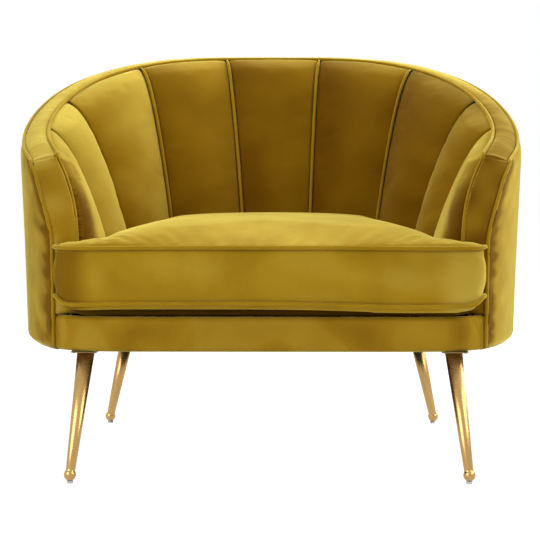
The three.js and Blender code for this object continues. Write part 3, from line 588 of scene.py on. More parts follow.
def cover_point(u, v):
    end = side_angle(arm_reach(outer_arm_height) - cover_rim_setback, outer_inset)
    top = outer_rim((2 * u - 1) * end) - cover_sink
    z = mix(underside + cover_lift, top, v)
    front = arm_reach(z) - cover_setback - cover_nose_setback * into_nose(z)
    angle = (2 * u - 1) * side_angle(front, cover_inset)
    hem = limit(1 - (z - underside) / hem_height)
    shoulder = limit(1 - (top - z) / shoulder_height)
    inset = taper(z, angle) + hem_turn * hem**2 + shoulder_turn * shoulder**2
    point = at(plan_point(angle, inset), z)
    gather = gather_depth * fold(Vector((angle * half_width, 0, z * 0.25)), gather_width)
    gather *= fading(top - z, gather_top) + 0.5 * fading(z - underside, gather_hem)
    wave = wave_depth * fold(point, wave_width, 3.0) - wave_sink
    crush = fold(Vector((u * 0.3, 0, z)), 0.016, 9.0) + 0.6 * fold(point, 0.03, 2.0) - 0.4
    crush *= crush_depth * fading(from_arm_front(u), crush_reach)
    push = (gather + wave + crush) * (1 - shoulder**2)
    return at(plan_point(angle, inset - push), z)


def cover_painted_shading(u, v):
    """Painted deeper beside the arm fronts in uneven patches, partly crushed pile and partly painted shade;
    the whole cover gets a little painted shade, the left side more.
    """
    rag = shade_strip_rag * fold(Vector((0, 0, v * 0.3)), 0.014, 4.0)
    crushed_and_painted_shade_strip = bell(max(0, from_arm_front(u) - shade_strip_reach - rag), shade_strip_fade)
    wide = bell(from_arm_front(u), patch_reach)
    left = ease((0.5 - u) / 0.2)
    patch = mix(0.7, 1.1, left) * wide * fold(Vector((u * 1.3, 0, v * 0.3)), 0.030, 4.0)
    # Painted shade: a little over the whole cover, more on the left, and in the strip and patches beside
    # the arm fronts, where the pile is also crushed.
    return 0.10 + 0.12 * left * wide + crushed_and_painted_shade_strip + patch


cover_form = bend_grid(300, 84, cover_point, painted_shading_at=cover_painted_shading)
bmesh.ops.recalc_face_normals(cover_form, faces=cover_form.faces)
bmesh.ops.solidify(cover_form, geom=cover_form.faces, thickness=cover_thickness)
bmesh.ops.recalc_face_normals(cover_form, faces=cover_form.faces)
cover = make_piece("outer_velvet", cover_form, tub_cloth)
settle(cover, "outer_cover")

# %% [markdown]
# ## Rim band
#
# The band is a long padded strip between the two pipings. At each arm it rolls over the front and
# ends in a cross seam above the facing. Round the curves towards the arms the cloth is eased into
# small creases that run across the band. Most of the band is painted paler, a painted highlight,
# and where it comes round to the right arm it is painted deep, a painted shade, in uneven patches.

# %% Rim band
band_low, band_high = outer_inset + 0.0025, rim_width - 0.0025
band_half, nose_radius = 0.004, 0.003
nose_reach = nose_radius + 2 * band_half
band_reach = arm_reach(outer_arm_height) - nose_reach
nose_share, nose_fullness, nose_fade = 0.02, 0.45, 0.03
band_length = 1.9
band_sink, band_crown = 0.0005, 0.0080
crease_depth, crease_width, swell_depth, swell_width = 0.0011, 0.011, 0.0006, 0.05


def band_end(inset):
    return end_angle(band_reach, lambda angle: plan_point(angle, inset))


def nose_point(side, inset, rise, turn):
    """A point of the band's nose, which swings round a line just under the band's end."""
    end = band_end(inset)
    plan = plan_point(side * end, inset)
    arm = rise + band_half + nose_radius
    pivot = rim_at(end, inset) - band_half - nose_radius
    low = Vector((plan.x, plan.y - arm * math.sin(turn)))
    return at(low, pivot + arm * math.cos(turn))


def band_place(w, inset, rise):
    from_end = min(w, 1 - w)
    if from_end < nose_share:
        return nose_point(-1 if w < 0.5 else 1, inset, rise, (1 - from_end / nose_share) * 0.5 * math.pi)
    angle = mix(-1, 1, (w - nose_share) / (1 - 2 * nose_share)) * band_end(inset)
    return at(plan_point(angle, inset), rim_at(angle, inset) + rise)


def band_front(across, w):
    inset = mix(band_low, band_high, across)
    crown = math.sin(math.pi * across) ** 0.5
    along = (w - 0.5) * band_length
    curve = ease((abs(along) - 0.22) / 0.3)
    crease = crease_depth * curve * fold(Vector((along, across * 0.006, 0)), crease_width, 5.0)
    swell = swell_depth * fold(Vector((along, across * 0.03, 2)), swell_width)
    nose = mix(nose_fullness, 1, ease((min(w, 1 - w) - nose_share) / nose_fade))
    lift = crease * (1 - 0.6 * crown) + swell
    return band_place(w, inset, -band_sink + (band_crown * crown + lift) * nose)


def band_back(across, w):
    return band_place(w, mix(band_low, band_high, across), -band_half)


def band_painted_shading(across, w):
    # Painted highlight along most of the band, painted shade round the right arm.
    turn = ease((w - 0.74) / 0.12)
    return 1.05 * turn - 0.40 + 0.25 * fold(Vector((w * band_length, across * 0.03, 0)), 0.03, 3.0)


band_form = pad_form(24, 520, band_front, band_back, painted_shading_at=band_painted_shading)
band = make_piece("rim_band_velvet", band_form, tub_cloth)
settle(band, "rim_band")

# %% [markdown]
# ## Piping
#
# The seams of the tub are piped: a cord covered in the same velvet stands up in each of them. One
# runs along the outside of the rim and down both arm fronts to the underside, the other along the
# inside. Each is a round cord swept along the line where two cloths meet.

# %% Piping of the rim and the arm fronts
piping_radius, piping_rise, piping_forward = 0.0031, 0.001, 0.0015
inner_piping_setback = 0.0035
outer_piping_bottom, inner_piping_bottom = underside + 0.0035, 0.2655
corner_gap = 0.006
down_steps, nose_steps, rim_steps = 60, 8, 360


def outer_edge(side, z):
    point = side_point(arm_reach(z) - cord_radius, cord_radius + taper(z))
    return at(Vector((side * point.x, point.y - piping_forward)), z)


def inner_edge(side, z):
    inside = inside_point(inside_front(z, arm_reach(z) - cord_radius - inner_piping_setback), z)
    return at(Vector((side * (inside.x + cord_radius), inside.y - piping_forward)), z)


def piping_path(inset, bottom, edge):
    end = band_end(inset)
    top = rim_at(end, inset) - nose_reach - corner_gap
    down = [bottom + (top - bottom) * i / down_steps for i in range(down_steps + 1)]
    turns = [0.5 * math.pi * i / nose_steps for i in range(nose_steps - 1)]
    path = [edge(-1, z) for z in down]
    path += [nose_point(-1, inset, piping_rise, turn) for turn in reversed(turns)]
    for i in range(1, rim_steps):
        angle = mix(-end, end, i / rim_steps)
        path.append(at(plan_point(angle, inset), rim_at(angle, inset) + piping_rise))
    path += [nose_point(1, inset, piping_rise, turn) for turn in turns]
    path += [edge(1, z) for z in reversed(down)]
    return smooth_path(path, 3)


outer_path = piping_path(outer_inset, outer_piping_bottom, outer_edge)
inner_path = piping_path(rim_width, inner_piping_bottom, inner_edge)
outer_cord = make_piece("outer_piping_cord", cord_form(outer_path, piping_radius), cord_cloth)
inner_cord = make_piece("inner_piping_cord", cord_form(inner_path, piping_radius), cord_cloth)
settle(outer_cord, "outer_piping")
settle(inner_cord, "inner_piping")

# %% [markdown]
# ## Arm facings
#
# A narrow padded panel closes each arm front between the two pipings. It has a shallow crown, and
# along its sides the cloth pulls into short creases. The right one is painted deep, a painted shade,
# and the left one a touch paler, a faint painted highlight, both in uneven patches.

# %% Arm facings
facing_bottom, facing_top_drop, facing_edge = 0.2630, 0.0022, 0.008
facing_inner_lap, facing_outer_lap, facing_turn = 0.0025, 0.003, 0.0035
facing_crown, facing_sink, facing_depth = 0.0042, 0.0015, 0.009
facing_crease, facing_swell = 0.0018, 0.0020
# Painted shade on the right facing, a faint painted highlight on the left.
facing_painted_shading = {"left": -0.10, "right": 0.78}


def facing_spot(side, across, v, raised_and_painted_highlight):
    inner_top = rim_at(band_end(rim_width), rim_width - facing_edge) - facing_top_drop
    outer_top = rim_at(band_end(outer_inset), facing_edge) - facing_top_drop
    z = mix(facing_bottom, mix(inner_top, outer_top, across), v)
    inner = inner_edge(1, z).x + cord_radius - facing_inner_lap
    outer = side_point(arm_reach(z), 2 * cord_radius + taper(z) - facing_outer_lap).x
    forward = arm_reach(z) - facing_turn * (1 - across) + raised_and_painted_highlight
    return Vector((side * mix(inner, outer, across), -forward + widest_y, z))


def make_facing(side, name):
    def front(across, v):
        crown = math.sin(math.pi * limit(across)) ** 0.8
        ends = math.sin(math.pi * limit(v)) ** 0.15 if 0 < v < 1 else 0
        spot = Vector((across * 0.03, v * 0.24, side))
        crease = facing_crease * fold(Vector((spot.x * 0.5, spot.y, side)), 0.016, 2.0) * (1 - 0.6 * crown)
        swell = facing_swell * fold(spot, 0.05, 4.0)
        return facing_spot(side, across, v, (facing_crown * crown + crease + swell) * ends - facing_sink)

    def back(across, v):
        return facing_spot(side, across, v, -facing_depth)

    def painted_shading_at(across, v):
        return facing_painted_shading[name] + 0.6 * fold(Vector((across * 0.04, v * 0.24, side)), 0.035, 8.0)

    form = pad_form(24, 90, front, back, painted_shading_at=painted_shading_at)
    facing = make_piece(f"arm_facing_velvet_{name}", form, tub_cloth)
    settle(facing, f"arm_facing_{name}")


make_facing(-1, "left")
make_facing(1, "right")

# %% [markdown]
# ## Blowing up a pad
#
# A stuffed pad takes its shape from the filling that pushes at the cloth and from the seams that hold
# it back. Blender's Cloth does the same: the seams are pinned, a little air pressure pushes the rest
# out, and a cap keeps any point from moving too far. The result is written into the mesh, so no
# simulation is left on the piece.

# %% Inflate with cloth
cloth_stiffness, cloth_shear, cloth_bending, cloth_mass = 18, 8, 0.6, 0.25


def inflate(piece, pressure, cap, frames, growth):
    cloth = piece.modifiers.new("cloth", "CLOTH")
    settings = cloth.settings
    settings.quality = 5
    settings.mass = cloth_mass
    settings.tension_stiffness = settings.compression_stiffness = cloth_stiffness
    settings.shear_stiffness = cloth_shear
    settings.bending_stiffness = cloth_bending
    settings.use_pressure = True
    settings.uniform_pressure_force = pressure
    settings.shrink_min = -growth
    settings.effector_weights.gravity = 0
    settings.vertex_group_mass = "sewn"
    cloth.point_cache.frame_start = 1
    cloth.point_cache.frame_end = frames
    start = [vert.co.copy() for vert in piece.data.vertices]
    for number in range(1, frames + 1):
        scene.frame_set(number)
    shaped = piece.evaluated_get(bpy.context.evaluated_depsgraph_get()).data
    moved = [vert.co.copy() for vert in shaped.vertices]
    piece.modifiers.remove(cloth)
    for vert, before, after in zip(piece.data.vertices, start, moved):
        step = after - before
        if step.length > cap:
            step.length = cap
        vert.co = before + step
    scene.frame_set(1)
    furthest = max((b - a).length for a, b in zip(start, moved))
    print(piece.name, "was pushed by up to", round(furthest * 1000, 1), "mm before the cap")


# %% [markdown]
# ## The nine channels
#
# Each channel is a long pad that is sewn down along both sides. Its face is full in the middle and
# turns in steeply at the seams, and it tucks under the piping at the top. The pads are built a
# little flat and then blown up against their seams, which leaves the soft pulls that real channels
# have. Light and shade are painted on them: one side of each channel and most of the right-hand
# ones are painted deeper, a painted shade, and the left-hand ones paler, a painted highlight, a
# little paler again near the top. The two channels of the arms are painted pale, a painted
# highlight, and deep low down at their front edge, a painted shade.

# %% Back channels
crown_low, crown_high, crown_power = 0.0230, 0.0190, 2.3
arm_skew = 0.62
tuck_share, tuck_reach = 0.3, 0.05
foot_share, foot_reach = 0.6, 0.2
channel_wave, channel_pull, seam_groove = 0.0012, 0.0010, 0.003
channel_depth = 0.014
sewn_side, sewn_end = 0.05, 0.015
back_painted_shading = [-0.85, -0.40, 0.22, 0.42, 0.58, 0.62, 0.42]
arm_painted_highlight, palest_painted_highlight = -0.45, -0.6


def fullest(index, across):
    """Moves the fullest line of the two arm channels towards the arm front."""
    if index == 0:
        return across**arm_skew
    if index == channel_count - 1:
        return 1 - (1 - across) ** arm_skew
    return across


def channel_face(index):
    def front(across, rise):
        across = limit(across)
        swell = 1 - abs(2 * fullest(index, across) - 1) ** crown_power
        crown = mix(crown_low, crown_high, limit(2 * rise - 1))
        tuck = mix(tuck_share, 1, ease((1 - rise) / tuck_reach))
        foot = mix(foot_share, 1, ease(rise / foot_reach))
        wave = channel_wave * fold(channel_point(index, across, rise, 0), 0.11, index)
        pull = channel_pull * fold(Vector((across, rise * 9, index)), 0.55) * (1 - swell)
        raised_and_painted_highlight = (crown * swell * foot + wave * swell + pull) * tuck - seam_groove * (1 - swell) ** 6
        return channel_point(index, across, rise, raised_and_painted_highlight)

    def back(across, rise):
        point = channel_point(index, limit(across), rise, 0)
        angle = math.atan2(point.x / half_width, (point.y - widest_y) / back_depth)
        return point + channel_depth * Vector((math.sin(angle), math.cos(angle), 0))

    return front, back


def sewn_share(across, rise):
    return 1 if min(across, 1 - across) < sewn_side or min(rise, 1 - rise) < sewn_end else 0


def channel_painted_shading(index):
    def painted_shading_at(across, rise):
        patch = 0.25 * fold(Vector((across * 0.10, index, rise * 0.35)), 0.05, 6.0)
        # The arm channels: painted highlight, with painted shade low down at the front edge.
        if index in (0, channel_count - 1):
            from_front = across if index == 0 else 1 - across
            low_down = ease((1 - rise) / 0.45)
            return mix(low_down, arm_painted_highlight, ease((from_front - 0.10) / 0.22)) + patch
        # Painted shade on one side of each channel and on most right-hand ones, painted highlight on the
        # left-hand ones and near the top.
        seam_lean_and_painted_shading = back_painted_shading[index - 1] + 0.45 * (1 - limit(across)) ** 1.6
        return max(palest_painted_highlight, seam_lean_and_painted_shading + patch) - 0.12 * ease((rise - 0.8) / 0.2)

    return painted_shading_at


def make_channel(index):
    front, back = channel_face(index)
    form = pad_form(40, 84, front, back, sewn_share, channel_painted_shading(index))
    channel = make_piece(f"channel_velvet_{index + 1}", form, channel_cloth_painted_shade)
    channel.vertex_groups.new(name="sewn")
    inflate(channel, pressure=2.0, cap=0.002, frames=10, growth=0.002)
    soften(channel)
    settle(channel, f"back_channel_{index + 1}")


for index in range(channel_count):
    make_channel(index)

# %% [markdown]
# ## Welts in the back seams
#
# The four seams nearest the middle of the back each carry a narrow welt, a cord that lies in the
# groove between two channels and dives under the rim.

# %% Seam welts
welt_seams = range(middle_channel - 1, middle_channel + 3)
welt_foot, welt_head, welt_steps = 0.03, 0.996, 90
welt_lift = 0.0030
for number, seam in enumerate(welt_seams, start=1):
    rises = [mix(welt_foot, welt_head, i / welt_steps) for i in range(welt_steps + 1)]
    line = [channel_point(seam, 0, rise, welt_lift) for rise in rises]
    welt = make_piece(f"welt_cord_{number}", cord_form(line, piping_radius, 10), cord_cloth)
    settle(welt, f"seam_welt_{number}")

# %% [markdown]
# ## Deck
#
# The cushion lies on a thin padded deck. It is hardly seen, except as the dark line between the
# cushion and the front rail, so its velvet is painted a deep olive that glows little: a painted
# shade for that gap. It is cut to the same T, a little smaller than the cushion.

# %% Deck pad
deck_low, deck_high = 0.2630, 0.2735
deck_gap, deck_back_gap, deck_end_gap = 0.0185, 0.0165, 0.0170
deck_reach, deck_edge = 0.2580, 0.003
ear_back = arm_front + 0.004
deck_ear, deck_ear_cut, ear_cut_start, ear_cut_length = 0.322, 0.012, 0.232, 0.020


def deck_half(reach):
    """Half the deck's width a given distance forward of the widest line."""
    half, depth = seat_half_width - deck_gap, seat_back_depth - deck_back_gap
    if reach > ear_back:
        return deck_ear - deck_ear_cut * limit((reach - ear_cut_start) / ear_cut_length) ** 3
    if reach > 0:
        return half + arm_splay * reach / arm_front
    return half * math.sqrt(1 - limit(-reach / depth) ** 2)


def deck_point(u, v):
    reach = mix(deck_end_gap - seat_back_depth, deck_reach, v)
    over, on_top = round_strip(u)
    edge = deck_edge * limit(30 * abs(over) - 29)
    z = deck_high - edge if on_top else deck_low + edge
    return Vector((over * (deck_half(reach) - edge), -reach + widest_y, z))


deck_form = bend_grid(64, 96, deck_point)
close_form(deck_form)
deck = make_piece("deck_painted_shade_velvet", deck_form, deck_painted_shade_cloth)
settle(deck, "deck_pad")

# %% [markdown]
# ## Front rail cover
#
# Below the cushion a padded strip covers the front rail. Its ends are rounded and run in behind the
# piping of the arm fronts. There the spare cloth gathers at the top corners. The ends are painted
# deep, a painted shade, the left one more, and so are uneven patches along it; its left part is
# painted a little paler, a painted highlight.

# %% Front rail cover
rail_bottom, rail_top, rail_edge, rail_turn = underside + 0.0004, 0.2618, 0.007, 0.0065
rail_reach, rail_depth, rail_end_power = 0.270, 0.013, 10
rail_end = side_point(arm_front - cord_radius, 1.4 * cord_radius + taper(underside)).x
rail_length, rail_gather, rail_wave = 0.9, 0.0050, 0.0010


def rail_spot(across, z, depth):
    share = -math.cos(math.pi * limit(across))
    reach = mix(rail_reach - depth, arm_front - cord_radius, abs(share) ** rail_end_power)
    return Vector(((rail_end - depth) * share, -reach + widest_y, z))


def rail_front(across, v):
    z = mix(rail_bottom, rail_top, v)
    edge = limit(1 - min(z - underside, rail_top - z) / rail_edge)
    corner = ease((abs(across - 0.5) - 0.34) / 0.12) * ease((v - 0.25) / 0.5)
    spot = Vector((across * rail_length, 0, z))
    gather = rail_gather * corner * fold(Vector((spot.x * 0.7 + spot.z * 0.9, 0, 0)), 0.013, 7.0)
    wave = rail_wave * fold(spot, 0.12, 8.0)
    return rail_spot(across, z, rail_turn * edge**2 - (gather + wave) * (1 - edge))


def rail_back(across, v):
    return rail_spot(across, mix(rail_bottom, rail_top, v), rail_depth)


def rail_place(u, v):
    return over_and_back(v, lambda rise: rail_front(u, rise), lambda rise: rail_back(u, rise))


def rail_painted_shading(u, v):
    # Painted shade at the ends and in patches, painted highlight towards the left.
    ends = ease((abs(u - 0.5) - 0.40) / 0.06)
    patch = max(0, 0.8 * fold(Vector((u * rail_length, 0, v * 0.08)), 0.07, 2.0))
    return mix(0.6, 0.4, u) * ends + patch * (1 - 0.5 * ends) - 0.16 * (1 - u)


rail_form = bend_grid(260, 44, rail_place, painted_shading_at=rail_painted_shading)
close_form(rail_form)
rail = make_piece("front_rail_velvet", rail_form, tub_cloth)
settle(rail, "front_rail_cover")

# %% [markdown]
# ## Seat cushion
#
# The cushion is loose: a deep foam block in a velvet case, shaped like a T so that its ears wrap the
# arm fronts. Its top is domed, and its walls swell a little between two lines of piping. The outline
# is laid out first, then swept from the flat underside over the walls to the crown.

# %% The cushion's outline
cushion_bottom, cushion_low, cushion_high, cushion_crown = 0.2742, 0.285, 0.3715, 0.4075
cushion_gap, cushion_reach, ear_half, ear_corner, notch = 0.0165, 0.285, 0.340, 0.042, 0.009
outline_points = 420
sag_height, sag_start, sag_length = 0.055, 0.262, 0.018
corner_rise, corner_start, corner_length, corner_power = 0.0115, 0.310, 0.030, 1.5


def arc(centre, radii, start, end, count):
    turns = [mix(start, end, i / count) for i in range(count + 1)]
    return [Vector((centre[0] + radii[0] * math.cos(t), centre[1] + radii[1] * math.sin(t))) for t in turns]


def seat_outline():
    """The T seen from above, from the middle of the back round by the right-hand ear."""
    quarter = math.pi / 2
    half, depth = seat_half_width - cushion_gap, seat_back_depth - cushion_gap
    waist = seat_half_width + arm_splay - cushion_gap
    waist_end = -(ear_back - notch)
    right = arc((0, 0), (half, depth), quarter, 0, 60)
    right += [Vector((mix(half, waist, i / 20), waist_end * i / 20)) for i in range(1, 20)]
    right += arc((waist + notch, waist_end), (notch, notch), 2 * quarter, 3 * quarter, 8)
    right += arc((ear_half - notch, -(ear_back + notch)), (notch, notch), quarter, 0, 8)
    front_centre = (ear_half - ear_corner, -(cushion_reach - ear_corner))
    right += arc(front_centre, (ear_corner, ear_corner), 0, -quarter, 12)
    right.append(Vector((0, -cushion_reach)))
    left = [Vector((-p.x, p.y)) for p in reversed(right[1:-1])]
    return even_loop(right + left, outline_points)


def even_loop(points, count):
    """The same closed line with its points evenly spaced."""
    steps = [(b - a).length for a, b in zip(points, points[1:] + points[:1])]
    total, place, walked, spaced = sum(steps), 0, 0.0, []
    for i in range(count):
        target = total * i / count
        while walked + steps[place] < target:
            walked += steps[place]
            place += 1
        after = points[(place + 1) % len(points)]
        spaced.append(points[place].lerp(after, (target - walked) / steps[place]))
    return spaced


def inset_loop(points, inset):
    count = len(points)
    moved = []
    for i, point in enumerate(points):
        along = (points[(i + 1) % count] - points[i - 1]).normalized()
        moved.append(point + inset * Vector((along.y, -along.x)))
    return moved


def front_sag(point, z):
    """How far the lower front edge rises at its corners and hangs between them."""
    low = 1 - limit((z - cushion_bottom) / sag_height)
    overhang = ease((-point.y - sag_start) / sag_length)
    corner = corner_rise * ease((abs(point.x) - corner_start) / corner_length) ** corner_power
    hang = 0.0065 * bell(point.x - 0.23, 0.14) + 0.002 * bell(point.x + 0.30, 0.04)
    return low * (corner - hang * overhang)


outline = seat_outline()
print("cushion outline points:", len(outline))

# %% [markdown]
# The sweep goes from the middle of the underside to the middle of the crown. Each section says how
# large its loop is, how far it is set in from the outline, and its height. Over the top the ears of
# the T shrink to almost nothing, so that the dome runs evenly into the corners.

# %% The cushion's body
crown_centre = Vector((0, 0.060))
core_half, core_ears = 0.262, 0.15
dome_edge, dome_inset, dome_power = 0.3770, 0.0065, 4.6
cushion_sections = [
    (0.02, 0.0, cushion_bottom),
    (0.50, 0.0, cushion_bottom),
    (0.90, 0.0, cushion_bottom),
    (1.00, 0.0080, 0.2746),
    (1.00, 0.0035, 0.2760),
    (1.00, 0.0020, 0.2785),
    (1.00, 0.0022, 0.2815),
    (1.00, 0.0038, 0.2850),
    (1.00, 0.0026, 0.2885),
    (1.00, 0.0004, 0.2930),
    (1.00, -0.0025, 0.3050),
    (1.00, -0.0030, 0.3290),
    (1.00, -0.0025, 0.3520),
    (1.00, 0.0004, 0.3635),
    (1.00, 0.0028, 0.3680),
    (1.00, 0.0042, 0.3715),
    (1.00, 0.0045, 0.3745),
    (1.00, 0.0065, 0.3775),
]
for share in (0.985, 0.96, 0.92, 0.87, 0.80, 0.71, 0.60, 0.48, 0.35, 0.20, 0.08, 0.02):
    dome = mix(dome_edge, cushion_crown, 1 - share**dome_power)
    cushion_sections.append((share, dome_inset, dome))
section_loops = []
for share, inset, z in cushion_sections:
    loop = []
    for point in inset_loop(outline, inset):
        core_x = limit(point.x, -core_half, core_half)
        x = mix(core_x + core_ears * (point.x - core_x), point.x, ease((share - 0.90) / 0.10))
        plan = crown_centre.lerp(Vector((x, point.y)), share)
        loop.append(at(plan, z + (front_sag(point, z) if share == 1 else 0)))
    section_loops.append(loop)


def cushion_point(u, v):
    loop = section_loops[round(v * (len(section_loops) - 1))]
    return loop[round(u * len(loop)) % len(loop)]


cushion_form = bend_grid(len(outline), len(section_loops) - 1, cushion_point)
close_form(cushion_form)
cushion = make_piece("seat_cushion_velvet", cushion_form, cushion_cloth)
print("cushion sections:", len(section_loops))

# %% [markdown]
# The swept form is remeshed into even little squares, which is what cloth needs, and the remesh is
# smoothed. The lines of the piping and the underside are pinned, and the pressure fills the rest.
# Its front is painted deep at the left end, a painted shade, and pale at the right end, a painted
# highlight; uneven patches of both are painted all over it.

# %% Fill the cushion
even_size = 0.006
seam_reach, level_face = 0.005, 0.95
smooth_rounds = 9


def cushion_painted_shading(point):
    # Painted shade at the left of the front, painted highlight at the right, patches of both all over.
    front = ease((-point.y - 0.300) / 0.040) * ease((cushion_high + 0.001 - point.z) / 0.008)
    left = 0.80 * ease((-point.x - 0.268) / 0.045)
    edge = 0.252 + 0.010 * fold(Vector((0, 0, point.z)), 0.05, 3.0)
    right = 0.30 * ease((point.x - edge) / 0.045)
    return front * (left - right) + 0.22 * fold(Vector((point.x, point.y, 2 * point.z)), 0.08, 11.0)


even = cushion.modifiers.new("even", "REMESH")
even.mode = "VOXEL"
even.voxel_size = even_size
even_mesh = bpy.data.meshes.new_from_object(cushion.evaluated_get(bpy.context.evaluated_depsgraph_get()))
even_form = bmesh.new()
even_form.from_mesh(even_mesh)
sewn = even_form.verts.layers.deform.verify()
cushion_painted_shading_layer = even_form.verts.layers.float.new("painted_shading")
for vert in even_form.verts:
    z = vert.co.z
    vert[cushion_painted_shading_layer] = limit(cushion_painted_shading(vert.co), -1)
    near_cord = min(abs(z - cushion_low), abs(z - cushion_high)) < seam_reach
    on_seam = near_cord and abs(vert.normal.z) < level_face
    vert[sewn][0] = 1.0 if on_seam or z < cushion_low else 0.0
for _ in range(smooth_rounds):
    free = [vert for vert in even_form.verts if vert[sewn][0] < 0.5]
    bmesh.ops.smooth_vert(
        even_form, verts=free, factor=0.5, use_axis_x=True, use_axis_y=True, use_axis_z=True
    )
cushion.modifiers.clear()
for face in even_form.faces:
    face.smooth = True
even_form.to_mesh(cushion.data)
even_form.free()
cushion.data.materials.clear()
cushion.data.materials.append(cushion_cloth)
cushion.vertex_groups.new(name="sewn")
inflate(cushion, pressure=4.0, cap=0.006, frames=16, growth=0.01)
soften(cushion)
settle(cushion, "seat_cushion", body="cushion")

# %% [markdown]
# Both edges of the cushion are piped. The lines are hand-cut, so they wander up and down by a
# millimetre or so. The lower one rises at the front corners and hangs a little between them.

# %% Cushion piping
cushion_cord_radius, cushion_cord_out = 0.0033, 0.0004
wander_height, wander_width = 0.0012, 0.16


def cushion_line(z, seed):
    line = []
    for point in inset_loop(outline, -cushion_cord_out):
        wander = wander_height * fold(Vector((point.x, point.y, seed)), wander_width)
        line.append(at(point, z + wander + front_sag(point, z)))
    return line


for name, z, seed in (("top", cushion_high, 1.0), ("bottom", cushion_low, 6.0)):
    piping_form = cord_form(cushion_line(z, seed), cushion_cord_radius, loop=True)
    piping = make_piece(f"cushion_cord_{name}", piping_form, cord_cloth)
    settle(piping, f"cushion_piping_{name}", body="cushion")

# %% [markdown]
# ## Legs
#
# Each leg is turned from brass: a long taper that narrows to a neck, with a ball for a foot. It is a
# profile spun round its axis, laid at the leg's lean and cut level under its plate. The satin finish
# has fine brush marks round the leg.

# %% Brass
brass, brass_tree, brass_shader = new_material("satin_brass")
brushing = add_noise(brass_tree, object_place(brass_tree, (1, 1, 14)), 120, 3)
feed(brass_tree, brass_shader, {
    "Base Color": two_tones(brass_tree, brushing, (0.42, 0.250, 0.085), (0.54, 0.345, 0.130)),
    "Metallic": 1,
    "Roughness": map_share(brass_tree, brushing, 0.22, 0.32),
    "Anisotropic": 0.4,
    "Normal": add_bump(brass_tree, brushing, 0.05, 0.0003),
})
print("brass ready")

# %% Turned legs
leg_top, leg_bottom, leg_spare = 0.2040, 0.0043, 0.012
leg_ends = {
    "front": ((0.316, 0.281), (0.2925, 0.241)),
    "rear": ((0.3175, -0.223), (0.2685, -0.176)),
}
ball_radius, ball_height, neck_radius, shoulder_radius = 0.0097, 0.0135, 0.0074, 0.0142
neck_low, neck_high, neck_flare = 0.0225, 0.0260, 0.0002
ball_steps, leg_sides = 14, 48


def leg_profile(length):
    stop = math.pi - math.asin(neck_radius / ball_radius)
    rows = [(0.0, ball_height - ball_radius)]
    for i in range(1, ball_steps + 1):
        turn = stop * i / ball_steps
        rows.append((ball_radius * math.sin(turn), ball_height - ball_radius * math.cos(turn)))
    rows += [(neck_radius, neck_low), (neck_radius + neck_flare, neck_high)]
    rows += [(shoulder_radius, length), (0.0, length)]
    return rows


def make_leg(side, side_name, end_name):
    foot, top = leg_ends[end_name]
    low = Vector((side * foot[0], -foot[1] + widest_y, 0))
    high = Vector((side * top[0], -top[1] + widest_y, leg_top))
    axis = high - low
    form = bmesh.new()
    verts = [form.verts.new((r, 0, z)) for r, z in leg_profile(axis.length + leg_spare)]
    edges = [form.edges.new(pair) for pair in zip(verts, verts[1:])]
    bmesh.ops.spin(
        form, geom=verts + edges, cent=(0, 0, 0), axis=(0, 0, 1), angle=2 * math.pi, steps=leg_sides,
        use_merge=True,
    )
    bmesh.ops.remove_doubles(form, verts=form.verts, dist=1e-6)
    seam_lean_and_painted_shading = Vector((0, 0, 1)).rotation_difference(axis).to_matrix().to_4x4()
    bmesh.ops.transform(form, matrix=Matrix.Translation(low) @ seam_lean_and_painted_shading, verts=form.verts)
    for height, outward in ((leg_top, 1), (leg_bottom, -1)):
        whole = form.verts[:] + form.edges[:] + form.faces[:]
        bmesh.ops.bisect_plane(
            form, geom=whole, plane_co=(0, 0, height), plane_no=(0, 0, outward), clear_outer=True
        )
    close_form(form)
    leg = make_piece(f"brass_leg_{end_name}_{side_name}", form, brass)
    settle(leg, f"leg_{end_name}_{side_name}")


for end_name in leg_ends:
    make_leg(-1, "left", end_name)
    make_leg(1, "right", end_name)

# %% [markdown]
# ## Plain finishes
#
# The frame, the webbing and the fittings hardly show from the front, but they do when the chair is
# turned over. So each gets a plain finish of its own: two tones in a fine grain, which can be drawn
# out along one axis.

# %% Finishes of the frame and the fittings


def plain_finish(name, low, high, roughness, scale, stretch=(1, 1, 1), metal=0.0, bump=0.2):
    material, tree, shader = new_material(name)
    grain = add_noise(tree, object_place(tree, stretch), scale, 5)
    feed(tree, shader, {
        "Base Color": two_tones(tree, grain, low, high, 0.3, 0.7),
        "Metallic": metal,
        "Roughness": roughness,
        "Normal": add_bump(tree, grain, bump, 0.0005),
    })
    return material


timber = plain_finish("frame_timber", (0.42, 0.27, 0.13), (0.62, 0.45, 0.26), 0.7, 22, (1, 1, 9))
webbing = plain_finish("seat_web", (0.012, 0.012, 0.013), (0.035, 0.034, 0.033), 0.85, 300, (1, 0.3, 1))
dust_cloth = plain_finish("dust_lining", (0.008, 0.008, 0.008), (0.020, 0.020, 0.020), 0.92, 520)
# A deep brass for the plates: painted shade.
shaded_plate_brass = plain_finish("plate_brass", (0.17, 0.11, 0.045), (0.26, 0.17, 0.07), 0.5, 90, (1, 6, 1), 1.0, 0.1)
glide_plastic = plain_finish("glide_clear", (0.62, 0.60, 0.55), (0.76, 0.74, 0.70), 0.3, 60, bump=0.05)
print("finishes:", [m.name for m in (timber, webbing, dust_cloth, shaded_plate_brass, glide_plastic)])

# %% [markdown]
# ## Leg plates
#
# Each leg is bolted to a small plated plate with rounded corners, screwed up into the base ring with
# four domed screws. Only its edge shows from the front. Its brass is painted far deeper than the
# legs', a painted shade from the rail above it.

# %% Leg plates
plate_side, plate_thickness, plate_height, plate_shift = 0.042, 0.0017, 0.20505, 0.0005
plate_corner, plate_corner_steps = 0.006, 6
screw_place, screw_sink, screw_radius, screw_dome = 0.0162, 0.0009, 0.0030, 0.38
small_face = 2e-6


